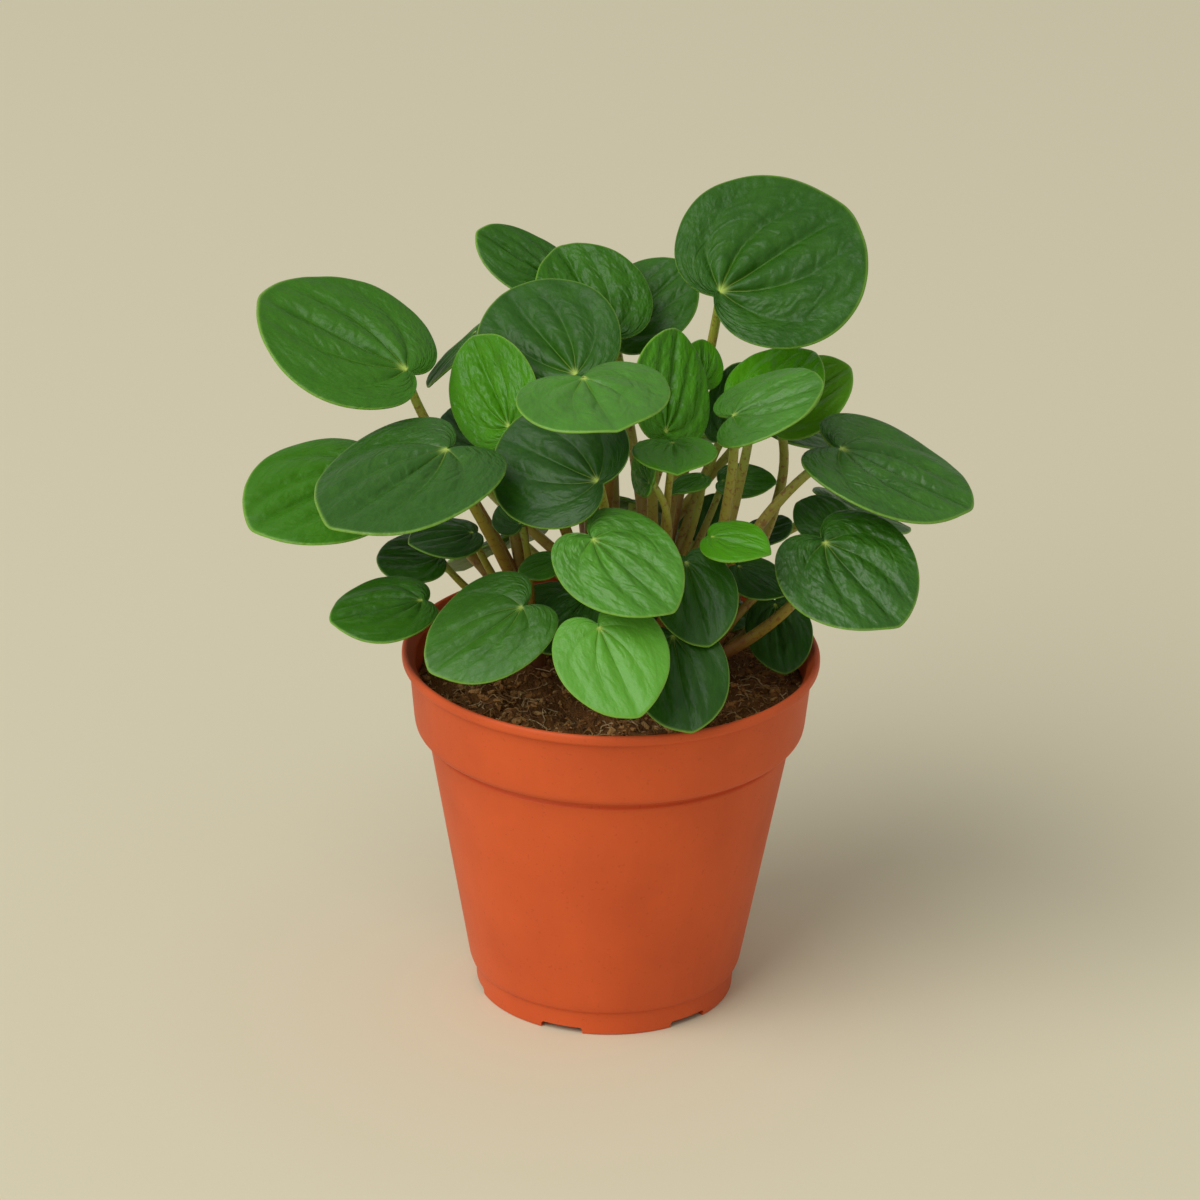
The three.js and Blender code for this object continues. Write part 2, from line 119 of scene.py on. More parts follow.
def hang_light(name, place, size, watts):
    """A square soft light that shines at the plant."""
    data = bpy.data.lights.new(name, "AREA")
    data.size, data.energy = size, watts
    light = add_object(name, data)
    light.location = place
    light.rotation_mode = "QUATERNION"
    light.rotation_quaternion = (AIM - Vector(place)).to_track_quat("-Z", "Y")


def lay_floor():
    """A plain floor under the pot."""
    mesh = bpy.data.meshes.new("floor")
    corners = [(-FLOOR_REACH, -FLOOR_REACH, 0), (FLOOR_REACH, -FLOOR_REACH, 0)]
    corners += [(FLOOR_REACH, FLOOR_REACH, 0), (-FLOOR_REACH, FLOOR_REACH, 0)]
    mesh.from_pydata(corners, [], [(0, 1, 2, 3)])
    paint = bpy.data.materials.new("pale floor")
    paint.use_nodes = True
    surface = paint.node_tree.nodes["Principled BSDF"]
    surface.inputs["Base Color"].default_value = FLOOR_COLOUR
    surface.inputs["Roughness"].default_value = FLOOR_ROUGHNESS
    mesh.materials.append(paint)
    floor = add_object("floor", mesh)


def light_sky():
    """An even pale sky that fills the shade."""
    world = bpy.data.worlds.new("sky")
    world.use_nodes = True
    background = world.node_tree.nodes["Background"]
    background.inputs["Color"].default_value = SKY_COLOUR
    background.inputs["Strength"].default_value = SKY_STRENGTH
    bpy.context.scene.world = world


lay_floor()
light_sky()
hang_light("window light", KEY_PLACE, KEY_SIZE, KEY_WATTS)
hang_light("room light", FILL_PLACE, FILL_SIZE, FILL_WATTS)
bpy.context.scene.view_settings.view_transform = "Standard"
print("lights:", [light.name for light in bpy.data.lights])

# %% [markdown]
# ## Sums made of nodes
#
# The shape of a blade and the pattern of its veins follow the same formulas. Geometry Nodes bend the
# mesh with them, and the material paints with them, so both must give the same number at the same
# point. Wiring dozens of Math nodes by hand hides the formula. A small class helps here: it wraps a
# socket, and every + or * written with it adds one Math node to the socket's tree.

# %% Write formulas as nodes
SOCKETS = {
    "number": "NodeSocketFloat",
    "count": "NodeSocketInt",
    "mesh": "NodeSocketGeometry",
    "finish": "NodeSocketMaterial",
}


def fill_socket(node, name, value):
    """Link a term or a socket to a node's input, or set the input to a plain value."""
    socket = node.inputs[name] if isinstance(name, int) else next(
        place for place in node.inputs if place.name == name and place.enabled
    )
    if isinstance(value, Term):
        value = value.socket
    if isinstance(value, bpy.types.NodeSocket):
        node.id_data.links.new(value, socket)
    else:
        socket.default_value = value


def add_node(tree, kind, inputs=None, **settings):
    """A new node with its settings made and its inputs filled."""
    node = tree.nodes.new(kind)
    for name, value in settings.items():
        setattr(node, name, value)
    for name, value in (inputs or {}).items():
        fill_socket(node, name, value)
    return node


class Term:
    """A number in a node tree. Each operator adds a Math node to the tree."""

    def __init__(self, socket):
        self.socket = socket

    def apply(self, operation, *others):
        node = add_node(self.socket.id_data, "ShaderNodeMath", operation=operation)
        for place, term in enumerate((self, *others)):
            fill_socket(node, place, term)
        return Term(node.outputs[0])

    def __add__(self, other):
        return self.apply("ADD", other)

    def __mul__(self, other):
        return self.apply("MULTIPLY", other)

    def __sub__(self, other):
        return self.apply("SUBTRACT", other)

    def __rsub__(self, other):
        return (self * -1) + other

    def __truediv__(self, other):
        return self.apply("DIVIDE", other)

    def __pow__(self, other):
        return self.apply("POWER", other)

    __radd__ = __add__
    __rmul__ = __mul__


def bell(term, width):
    """1 where the term is 0, falling to nothing over the width."""
    return ((term / width).apply("MULTIPLY", term / width) * -1).apply("EXPONENT")


def limit(term):
    """The term, held between 0 and 1."""
    return term.apply("MAXIMUM", 0.0).apply("MINIMUM", 1.0)


def split(tree, socket):
    """The three numbers of a vector."""
    node = add_node(tree, "ShaderNodeSeparateXYZ", {0: socket})
    return [Term(output) for output in node.outputs]


def join(tree, *terms):
    """A vector made of three numbers."""
    return add_node(tree, "ShaderNodeCombineXYZ", dict(enumerate(terms))).outputs[0]


def noise_at(tree, place, scale, detail):
    """Smooth noise at a place: from 0 to 1, and mostly near a half."""
    node = add_node(tree, "ShaderNodeTexNoise", {"Vector": place, "Scale": scale, "Detail": detail})
    return Term(node.outputs[0])


print("socket kinds:", ", ".join(SOCKETS))

# %% [markdown]
# ## From tree to piece
#
# A Geometry Nodes tree works on an object through a modifier. It could stay there, but the export wants
# plain meshes, so each tree is run once and its result is kept. Every tree ends in the same way: its
# instances are made real and the mesh gets its finish. Every finished mesh becomes a piece in the same
# way too: it is put in the scene, rides the one body of the model, and replaces its node.

# %% Run trees and show pieces
def smoothed(tree, mesh):
    """The mesh with its faces shaded as one smooth skin."""
    return add_node(tree, "GeometryNodeSetShadeSmooth", {"Geometry": mesh}).outputs[0]


def end_tree(tree, start, end, mesh):
    """Make the mesh real, give it the finish from the tree's inputs, and put it out."""
    real = add_node(tree, "GeometryNodeRealizeInstances", {"Geometry": mesh})
    done = add_node(tree, "GeometryNodeSetMaterial", {
        "Geometry": real.outputs[0], "Material": start.outputs["Finish"],
    })
    tree.links.new(done.outputs[0], end.inputs[0])


def start_tree(name, kind, inputs, outputs):
    """A node group with named inputs and outputs, and its own two end nodes."""
    tree = bpy.data.node_groups.new(name, kind)
    for label, sort in inputs.items():
        tree.interface.new_socket(label, in_out="INPUT", socket_type=SOCKETS[sort])
    for label, sort in outputs.items():
        tree.interface.new_socket(label, in_out="OUTPUT", socket_type=SOCKETS[sort])
    return tree, tree.nodes.new("NodeGroupInput"), tree.nodes.new("NodeGroupOutput")


def grow(name, tree, values, source=None):
    """Run a Geometry Nodes tree on a source mesh and give back the result as a plain mesh."""
    start = add_object(name, source or bpy.data.meshes.new(name))
    modifier = start.modifiers.new(name, "NODES")
    modifier.node_group = tree
    for item in tree.interface.items_tree:
        if item.in_out == "INPUT" and item.name in values:
            modifier[item.identifier] = values[item.name]
    graph = bpy.context.evaluated_depsgraph_get()
    evaluated = start.evaluated_get(graph)
    mesh = bpy.data.meshes.new_from_object(evaluated, preserve_all_data_layers=True, depsgraph=graph)
    start.modifiers.remove(modifier)
    bpy.data.objects.remove(start)
    return mesh


def show(name, mesh, slot, *nodes):
    """Put a finished mesh in the scene as a piece that stands for CAD nodes."""
    mesh.name = name
    piece = add_object(name, mesh)
    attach(piece, "root")
    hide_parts(*nodes)
    return piece


# %% [markdown]
# ## How a blade is measured
#
# A blade has a joint, where its petiole meets it, a midrib that runs along it, and a face that it turns
# up. Its margin is read by a turn from the tip, round one side, to the notch behind the joint. A form
# says how far the lobes reach back, how deep the notch is, how egg-shaped the outline is and how far
# its tip stands out, and then how the face is arched, cupped, folded and waved. The forms and the list
# of blades are those of the CAD model, so every finer blade lies where its node lies. The number after
# a blade's form is its tone, partly its own colour and partly painted light and shade: below 0 for a
# dark old blade, darker still as painted shade where it lies in the shade of others, above 0 for a
# fresh one, and above 1 for painted light, the green of a blade with light shining through it.

# %% List the blades
FORMS = {
    "old": dict(lobe=0.2, sinus=0.72, egg=0.03, tip=0.03, arch=0.06, cup=-0.07, fold=0, wave=0.02),
    "heart": dict(lobe=0.32, sinus=0.86, egg=0.07, tip=0.05, arch=0.07, cup=-0.06, fold=0, wave=0.02),
    "young": dict(lobe=0.18, sinus=0.6, egg=0.1, tip=0.07, arch=0.06, cup=-0.1, fold=0.14, wave=0.015),
}
SLOTS = {"old": "blade_mature", "heart": "blade_pale", "young": "blade_young"}
BLADE_THICKNESS, RIM_THICKNESS = 1.1, 0.75
# How far round the margin the notch and the tip reach, and how blunt the tip is, in radians.
SINUS_SPREAD, TIP_SPREAD, TIP_ROUNDING = 0.33, 0.25, 0.1
# A blade of this length or more gets the finer grid and a petiole of full thickness.
LARGE_LEAF = 19

# Where each crown stands on the soil, and its height above it.
CROWNS = {
    "left": (-20, 6, 17),
    "middle": (-5, 11, 22),
    "right": (11, 3, 22),
    "outer": (23, -1, 16),
    "back": (1, 27, 18),
}

# Crown, joint, heading, lift, turn, length, width, form, tone and, where it has one, the petiole's swing.
LEAVES = [
    ("left", (-52, 0, 166), 165, 25, 20, 40, 41, "old", 0.35, (0, 4, 0)),
    ("left", (-41, -22, 154), -135, -10, 5, 38, 43, "heart", -0.9),
    ("left", (-61.5, 8, 136), -145, -10, 20, 34, 36, "old", 0.9, (0, 6, 4)),
    ("left", (-47, -16, 111), -165, -5, 15, 23, 24, "old", 0.1),
    ("left", (-43, 2, 115), 170, 0, 20, 16, 19, "old", -0.4),
    ("left", (-35, -1, 123), -165, 0, 10, 16, 18, "old", -0.7),
    ("left", (-22, -32, 117), -150, -23, 30, 27, 27, "heart", -0.3),
    ("middle", (-6, -16, 113), -135, -30, 20, 18, 16, "old", -0.8),
    ("middle", (-14, -14, 122), -155, -10, 20, 10, 9, "old", 0.4),
    ("middle", (-4, -30, 150), 145, 10, 40, 30, 36, "old", -0.8),
    ("middle", (-26, -6, 154), 120, 35, 55, 27, 25, "young", 0.1),
    ("middle", (-8, -26, 175), -70, -5, -5, 24, 38, "heart", 0.1, (7, 13, 12)),
    ("right", (-5, -38, 138), -40, -20, -25, 27, 29, "heart", 0.4),
    ("middle", (-10, 2, 165), 130, 25, 35, 32, 36, "old", -0.5),
    ("middle", (-14, 50, 169.5), 168, 32, 29, 25.5, 19, "old", -0.2),
    ("middle", (-1.5, 26, 166.5), 125, 35, 20, 28, 29, "young", -0.8),
    ("right", (-1, 40, 162), 30, 35, -20, 25, 28, "old", -0.1),
    ("right", (25.2, 18, 181.5), 25, 28, -32, 38.5, 52, "old", -0.4, (2, 17, 0)),
    ("right", (21, 16, 158), 85, 40, -25, 12, 11, "young", 0.1),
    ("right", (12, -5, 153), 80, 45, -40, 27, 23, "young", 0),
    ("right", (27, 18, 143), 60, 50, -40, 20, 15, "old", -0.6),
    ("outer", (29, -6, 158), -5, 28, -15, 23, 28, "heart", 0),
    ("outer", (34, 10, 152.5), 45, 30, -15, 23, 24, "young", 0.9),
    ("outer", (40, 24, 146), 15, 35, -25, 22, 23, "old", 1.9, (8, 4, 0)),
    ("outer", (55.7, 2, 146.5), -15, -15, -10, 34.6, 37.5, "heart", -0.6, (-3, 0, 8)),
    ("outer", (52, -16, 129), -45, -25, -20, 28, 35, "heart", -0.8, (4, -4, -6)),
    ("outer", (56, 8, 122), 135, 20, 25, 14, 14, "old", -0.3, (0, 2, 6)),
    ("right", (27, 19, 130), -5, 5, -15, 13, 14, "young", -0.5),
    ("outer", (24, -26, 134), -25, 0, -20, 15, 15, "young", 0.7, (5, 5, 9)),
    ("outer", (35, 24, 113), 20, 20, -10, 11, 12, "old", -0.7),
    ("outer", (31, -9, 119), -30, -15, -15, 14, 14, "old", -0.7),
    ("right", (18, -25, 127), -70, -40, -15, 22, 21, "old", -0.5),
    ("right", (15, -36, 112), -75, -40, -10, 25, 24, "old", -0.7),
    ("outer", (41, 9, 101), -80, -35, -5, 19, 17, "old", -0.7),
    ("right", (-3, -50, 120), -60, -35, -20, 24, 28, "heart", 1.1),
    ("left", (-31, 10, 141), 130, 15, 35, 19, 17, "old", -0.8),
    ("left", (-35, 24, 167), -160, -40, -15, 18, 15, "old", -0.4),
    ("right", (14, -17, 155), -85, -5, 0, 14, 21, "young", 0.2),
    ("right", (9, -16, 144), 105, 10, 70, 17, 11, "young", 0.2),
    ("right", (22, 2, 138), -140, -5, 5, 10, 8, "young", -0.2),
    ("right", (23, 22, 113), 65, 35, -30, 14, 13, "old", -0.6),
    ("left", (-23, -4, 127), 120, 10, 30, 11, 11, "old", -0.6),
    ("back", (-36, 42, 122), 150, -20, 0, 30, 31, "old", -0.2),
    ("back", (56, 40, 117), 30, -25, 0, 24, 25, "old", 0),
    ("back", (-16, 43, 133), 115, -25, 0, 28, 29, "heart", 0.1),
    ("back", (5, 47, 112), 82, -42, 0, 27, 29, "old", -0.2),
    ("back", (-25, 44, 104), 130, -35, 0, 27, 28, "old", -0.4),
    ("back", (14, 42, 134), 60, -20, 0, 28, 29, "young", 0.3),
    ("back", (-1, 42, 146), 88, -8, 0, 24, 26, "young", 0.3),
    ("back", (-10, 26, 95), -160, -10, 15, 18, 17, "old", -0.5),
    ("back", (19, 22, 96), -10, -10, -15, 17, 16, "old", -0.6),
    ("back", (22, 44, 104), 60, -40, 0, 26, 27, "old", -0.3),
    ("back", (36, 36, 141), 30, -20, -10, 24, 24, "old", -0.2),
]


def read_leaf(number, row):
    """A blade's measures and its own axes, with lengths in millimetres."""
    crown, joint, heading, lift, turn, length, width, form, tone, *swing = row
    heading, lift, turn = (math.radians(angle) for angle in (heading, lift, turn))
    flat = math.cos(lift)
    along = Vector((flat * math.cos(heading), flat * math.sin(heading), math.sin(lift)))
    level = Vector((-math.sin(heading), math.cos(heading), 0))
    face = math.cos(turn) * along.cross(level) + math.sin(turn) * level
    return dict(
        number=number, crown=crown, joint=Vector(joint), along=along, across=face.cross(along), face=face,
        length=length, width=width, form=form, tone=tone, swing=Vector(swing[0] if swing else (0, 0, 0)),
    )


# How deep the side veins of each form lie and how much its fine skin puckers, and the blades whose
# veins and puckers stand out less or more than the usual 1.
SIDE_VEINS = {"old": 1.0, "heart": 1.2, "young": 3.0}
PUCKERS = {"old": 0.4, "heart": 0.6, "young": 0.6}
QUILTS = {1: 1.1, 2: 1.0, 4: 1.0, 7: 0.5, 10: 0.8, 12: 0.9, 13: 1.1, 14: 0.9, 18: 1.5, 25: 1.2, 26: 1.2,
          29: 0.6, 32: 0.5, 33: 0.5, 35: 0.45}

leaves = [read_leaf(number, row) for number, row in enumerate(LEAVES, 1)]
print(len(leaves), "blades, the longest", max(leaf["length"] for leaf in leaves), "mm from joint to tip")

# %% [markdown]
# ## The fan of veins
#
# Seven veins or so leave the joint of such a blade like the ribs of a fan and bend towards the tip.
# They could be drawn one by one as curves. A formula does it better here: every point of the blade is
# traced back to the angle at which the vein through it left the joint, and veins lie at even steps of
# that angle. A little noise, more of it further out, lets them wander. The same formula shapes the
# mesh and paints the material, in both kinds of node tree.

# %% Trace points back to the veins
VEIN_STEP = math.radians(58)
VEIN_BEND = 0.72
VEIN_BEND_POWER = 1.2
WANDER = 0.24
WANDER_SCALE = 1.5


def vein_lane(tree, turn, share, seed):
    """The vein's number at a point: whole on a vein, a half between two veins."""
    across = share * turn.apply("SINE")
    along = share * turn.apply("COSINE")
    warp = noise_at(tree, join(tree, along, across, seed), WANDER_SCALE, 1.0)
    reach = share ** VEIN_BEND_POWER
    bend = reach * (turn.apply("COSINE") + 1) * (VEIN_BEND / 2)
    return turn / ((1 - bend) * VEIN_STEP) + (warp - 0.5) * share * (2 * WANDER)


def from_vein(lane):
    """Distance to the nearest vein: 0 on it and a half midway."""
    return (lane - lane.apply("ROUND")).apply("ABSOLUTE")


print("a vein leaves the joint every", round(math.degrees(VEIN_STEP)), "degrees")

# %% [markdown]
# ## The tree that grows a blade
#
# A blade follows a rule, so Geometry Nodes make it. The tree starts from a flat grid. One side of the
# grid runs round the margin, and the other from the middle of the upper face, over the margin, to the
# middle of the lower face. Wrapped round like that, the grid closes into one body with a rounded rim
# once its seam and its two poles are merged. Both faces sink along the veins and rise between them,
# as a fleshy blade does, with a crease along the midrib and small side veins that lean forward from
# the main ones. Behind the joint, where the grid's two ends meet, the veins fade away, so that both
# ends have the same shape. Noise that is read round the margin makes it a little uneven. An attribute
# keeps each corner's turn, share and side for the material.

# %% Build the blade tree
RING_CROWDING = 1.6
RIM_ROUNDING = 0.4
RIPPLE, RIPPLE_SCALE = 0.05, 1.1
FLUTTER = 1.1
WAVE_COUNT, WAVE_GROWTH = 3, 3
# The depths below are for a blade of full length. Others get them in proportion, up to a largest share.
FULL_LENGTH, LARGEST_SHARE = 26, 1.25
VEIN_DEPTH, VEIN_WIDTH = 0.24, 0.07
PUFF = 1.05
CREASE = 0.6
SIDE_STEP, SIDE_LEAN, SIDE_WIDTH, SIDE_DEPTH = 6.0, 2.0, 0.3, 0.08
SIDE_WANDER, SIDE_WANDER_SCALE, SIDE_WANDER_STRETCH = 2.2, 1.1, 0.2
# Where the relief fades: on the outer veins, near the joint and the heart of the blade, towards the
# margin, and behind the joint.
OUTER_FADE, RELIEF_REACH = 0.3, 1.3
JOINT_FADE, HEART_FADE, MARGIN_FADE, BACK_FADE = 5, 3, 6, 4
# Points closer than this are merged, in metres.
MERGE = 1e-5


def blade_outline(turn, own):
    """Where the margin lies at a turn, along the midrib and across it."""
    reach = own["Lobe"] * own["Length"]
    half = (own["Length"] + reach) * 0.5
    from_tip = (turn * turn + TIP_ROUNDING ** 2).apply("SQRT") - TIP_ROUNDING / 2
    tip = (from_tip / -TIP_SPREAD).apply("EXPONENT") * own["Tip"] * own["Length"]
    keep = 1 - bell(math.pi - turn.apply("ABSOLUTE"), SINUS_SPREAD) * own["Sinus"]
    along = (half * (turn.apply("COSINE") + 1) - reach + tip) * keep
    across = own["Width"] * 0.5 * turn.apply("SINE") * (1 - own["Egg"] * turn.apply("COSINE")) * keep
    return along, across, half


def blade_relief(turn, share, u, v, own):
    """How far the blade's middle surface stands out of its plane, veins left out."""
    arch = own["Arch"] * u * u / own["Length"] * -1
    cup = own["Cup"] * v * v / (own["Width"] * 0.5)
    fold = own["Fold"] * v.apply("ABSOLUTE")
    wave = own["Wave"] * own["Length"] * share ** WAVE_GROWTH
    wave = wave * (turn * WAVE_COUNT + own["Phase"]).apply("SINE")
    return arch + cup + fold + wave


def side_veins(tree, lane, share, length, seed):
    """1 on the small veins that lean forward from a main vein every few millimetres, 0 between them."""
    place = join(tree, lane, share * length * SIDE_WANDER_STRETCH, seed)
    warp = noise_at(tree, place, SIDE_WANDER_SCALE, 2.0)
    steps = share * length / SIDE_STEP - from_vein(lane) * SIDE_LEAN * share ** 0.5
    return bell(from_vein(steps + warp * SIDE_WANDER), SIDE_WIDTH)


def vein_relief(tree, turn, share, own):
    """The midrib's crease, furrows along the veins, and soft swellings that fade towards the margin."""
    lane = vein_lane(tree, turn, share, own["Phase"])
    away = from_vein(lane)
    strong = limit(RELIEF_REACH - lane.apply("ABSOLUTE") * OUTER_FADE)
    fade = limit(share * JOINT_FADE) * (1 - share ** MARGIN_FADE)
    fade = fade * limit((math.pi - turn.apply("ABSOLUTE")) * BACK_FADE)
    size = (own["Length"] / (FULL_LENGTH * MM)).apply("MINIMUM", LARGEST_SHARE)
    puff = ((away * math.pi).apply("SINE") - 0.5) * PUFF
    furrow = bell(away, VEIN_WIDTH) * VEIN_DEPTH
    side = side_veins(tree, lane, share, own["Length"] / MM, own["Phase"])
    crease = (lane.apply("ABSOLUTE").apply("MINIMUM", 1.0) - 0.5) * CREASE * limit(share * HEART_FADE)
    side = side * own["Side veins"] * SIDE_DEPTH
    return (((puff - furrow) * strong - side) * fade * own["Quilt"] + crease) * size * MM


def blade_body(share, half):
    """Half the blade's thickness, rounded off at the rim."""
    thick = (share * share * (RIM_THICKNESS - BLADE_THICKNESS) + BLADE_THICKNESS) * (MM / 2)
    past = limit((share - 1) * half / (RIM_ROUNDING * MM) + 1)
    return thick * (1 - past * past).apply("MAXIMUM", 0.0).apply("SQRT")


def build_blade_tree():
    """The tree that bends a grid into one closed blade, with its joint at the origin."""
    sizes = ["Length", "Width", "Lobe", "Sinus", "Egg", "Tip", "Arch", "Cup", "Fold", "Wave", "Phase",
             "Side veins", "Quilt"]
    inputs = {name: "number" for name in sizes}
    inputs |= {"Spokes": "count", "Rings": "count", "Finish": "finish"}
    tree, start, end = start_tree("Heart-shaped blade", "GeometryNodeTree", inputs, {"Blade": "mesh"})
    own = {name: Term(start.outputs[name]) for name in sizes}
    grid = add_node(tree, "GeometryNodeMeshGrid", {
        "Size X": 2 * math.pi, "Size Y": 2.0,
        "Vertices X": start.outputs["Spokes"], "Vertices Y": start.outputs["Rings"],
    })
    turn, over, _ = split(tree, add_node(tree, "GeometryNodeInputPosition").outputs[0])
    share = 1 - over.apply("ABSOLUTE") ** RING_CROWDING
    side = over.apply("SIGN") * -1
    marked = add_node(tree, "GeometryNodeStoreNamedAttribute", {
        "Geometry": grid.outputs["Mesh"], "Name": "blade", "Value": join(tree, turn, share, side),
    }, data_type="FLOAT_VECTOR", domain="CORNER")
    along, across, half = blade_outline(turn, own)
    ring = join(tree, turn.apply("COSINE"), turn.apply("SINE"), own["Phase"])
    uneven = noise_at(tree, ring, RIPPLE_SCALE, 2.0) - 0.5
    reach = share * (uneven * RIPPLE + 1)
    u, v = along * reach, across * reach
    middle = blade_relief(turn, share, u, v, own) + vein_relief(tree, turn, share, own)
    middle = middle + uneven * share ** WAVE_GROWTH * (FLUTTER * MM)
    w = middle + side * blade_body(share, half)
    shaped = add_node(tree, "GeometryNodeSetPosition", {
        "Geometry": marked.outputs[0], "Position": join(tree, u, v, w),
    })
    closed = add_node(tree, "GeometryNodeMergeByDistance", {
        "Geometry": shaped.outputs[0], "Distance": MERGE,
    })
    end_tree(tree, start, end, smoothed(tree, closed.outputs[0]))
    return tree


blade_tree = build_blade_tree()
print("the blade tree has", len(blade_tree.nodes), "nodes")

# %% [markdown]
# ## What is painted on a blade
#
# Three finishes share the same drawing: the old, dark blades, the greyish heart-shaped ones and the
# fresh green ones. The drawing is a shader node group. It reads the blade's own attribute, so that the
# veins run with the blade wherever it turns, and puts out masks, values and one height: the thin pale
# line of each vein and its brighter start, the net of small side veins, the pale spot at the joint,
# the pale rim, the underside, the blade's tone and a fine speckle. The pale line and its brighter start
# are partly the veins' own paler green and partly painted sheen. The height holds the puckers of the
# skin, which are too small for the mesh, and makes the side veins crisper than the mesh can.

# %% Draw the blade's pattern
# A vein's line is thinner near the joint, ends before the margin, and is faint on the outer veins.
LINE_WIDTH, LINE_TAPER = 0.02, 0.2
LINE_END, LINE_FADE, LINE_LANES = 1.05, 1.3, 1.2
# The net of side veins starts away from the joint, keeps off the main veins and fades at the margin.
NET_START, NET_DELAY, NET_GAP, NET_MARGIN = 4, 0.4, 8, 4
SPOT_REACH, START_REACH, RIM_REACH = 0.045, 0.16, 0.014
SPECKLE_SCALE = 2600
WRINKLE_SCALE, WRINKLE_DETAIL = 0.3, 1.5
SPECKLE_HEIGHT, NET_HEIGHT, LINE_HEIGHT = 0.05, 0.34, 0.15


def read_attribute(tree, name, output="Fac"):
    """What a mesh attribute holds, for a material."""
    return add_node(tree, "ShaderNodeAttribute", attribute_name=name).outputs[output]


def object_place(tree):
    """The place of a point in its own object, for a material."""
    return add_node(tree, "ShaderNodeTexCoord").outputs["Object"]


def build_blade_pattern():
    """The shader group that draws veins, rim, spot and skin for every blade finish."""
    masks = ["Line", "Start", "Net", "Spot", "Rim", "Under", "Tone", "Speckle", "Height"]
    outputs = dict.fromkeys(masks, "number")
    tree, _, end = start_tree("Blade pattern", "ShaderNodeTree", {}, outputs)
    turn, share, side = split(tree, read_attribute(tree, "blade", "Vector"))
    seed, tone, length = split(tree, read_attribute(tree, "own", "Vector"))
    lane = vein_lane(tree, turn, share, seed)
    away = from_vein(lane)
    outer = limit(LINE_LANES - lane.apply("ABSOLUTE") * OUTER_FADE)
    line = bell(away * (share + LINE_TAPER), LINE_WIDTH) * outer * limit(LINE_END - share * LINE_FADE)
    net = side_veins(tree, lane, share, length, seed) * limit(share * NET_START - NET_DELAY)
    net = net * limit(away * NET_GAP) * (1 - share ** NET_MARGIN)
    out = share * length * WRINKLE_SCALE
    skin_place = join(tree, out * turn.apply("COSINE"), out * turn.apply("SINE"), seed)
    wrinkle = noise_at(tree, skin_place, 1.0, WRINKLE_DETAIL)
    puckered = Term(read_attribute(tree, "puckered"))
    speckle = noise_at(tree, object_place(tree), SPECKLE_SCALE, 2.0)
    height = wrinkle * limit(share * HEART_FADE) * puckered + speckle * SPECKLE_HEIGHT
    height = height - net * puckered * NET_HEIGHT - line * LINE_HEIGHT
    made = {
        "Line": line, "Start": line * bell(share, START_REACH), "Net": net,
        "Spot": bell(share, SPOT_REACH), "Rim": bell(1 - share, RIM_REACH),
        "Under": limit(side * -1), "Tone": tone, "Speckle": speckle, "Height": height,
    }
    for name, term in made.items():
        fill_socket(end, name, term)
    return tree


blade_pattern = build_blade_pattern()
print("the pattern puts out:", ", ".join(socket.name for socket in blade_pattern.interface.items_tree))

# %% [markdown]
# ## The finish of a blade
#
# A peperomia blade is fleshy and has a satin skin: some light goes a little way in and comes out
# green, and the gloss is broad, because the skin is finely beaded. Each of the three finishes mixes its
# own dark and light green by the tone of the blade, which paints shade on blades that lie in the shade
# of others, and lays the drawing over it. A tone above 1 leads on to painted light: the yellow green of
# a thin blade with light behind it. The underside is paler and duller.

# %% Mix the blade finishes
BLADE_PAINTS = {
    "old": dict(dark=(0.012, 0.068, 0.001), light=(0.050, 0.200, 0.004), under=(0.10, 0.20, 0.04)),
    "heart": dict(dark=(0.024, 0.105, 0.004), light=(0.10, 0.33, 0.024), under=(0.12, 0.24, 0.06)),
    "young": dict(dark=(0.026, 0.120, 0.001), light=(0.080, 0.32, 0.003), under=(0.12, 0.26, 0.03)),
}
SKIN_ROUGHNESS = {"old": 0.34, "heart": 0.33, "young": 0.27}
SHINE = {"old": 0.3, "heart": 0.4, "young": 0.26}
# Painted light: the green of a blade with light shining through it from behind.
BACKLIT_GREEN = (0.12, 0.36, 0.006)
VEIN_GREEN = (0.15, 0.34, 0.04)
JOINT_GREEN = (0.46, 0.60, 0.11)
RIM_GREEN = (0.24, 0.46, 0.05)
# How far light goes into the flesh, by red, green and blue, how much of it does, and the scale in metres.
FLESH_DEPTH, FLESH_SHARE, FLESH_SCALE = (0.35, 1.0, 0.12), 0.12, 0.0012
# A blade's tone moves its green from a middle value, and blotches move it from place to place.
MIDDLE_TONE, TONE_STRENGTH = 0.42, 0.5
BLOTCH_SCALE, BLOTCH_STRENGTH = 130, 0.5
# The parts of the drawing that colour the upper side, in the order in which they are laid on.
# The pale green laid on the line and on its start is partly the veins' own colour and partly painted
# sheen.
DRAWN_COLOURS = (("Net", 0.05, VEIN_GREEN), ("Line", 0.35, VEIN_GREEN), ("Start", 0.7, JOINT_GREEN),
                 ("Rim", 0.7, RIM_GREEN))
UNDER_SHARE, SPOT_SHARE = 0.85, 0.9
SPECKLE_DULLNESS, UNDER_DULLNESS = 0.16, 0.12


def mix(tree, share, first, second):
    """A colour between two others, by a share from 0 to 1."""
    node = add_node(tree, "ShaderNodeMix", data_type="RGBA")
    fill_socket(node, "Factor", share)
    for name, colour in (("A", first), ("B", second)):
        fill_socket(node, name, (*colour, 1) if isinstance(colour, tuple) else colour)
    return next(output for output in node.outputs if output.enabled)


def new_finish(name, **settings):
    """A material, its tree and its surface shader, with plain settings on the shader's own sockets."""
    material = bpy.data.materials.new(name)
    material.use_nodes = True
    surface = material.node_tree.nodes["Principled BSDF"]
    for label, value in settings.items():
        surface.inputs[label.replace("_", " ")].default_value = value
    return material, material.node_tree, surface


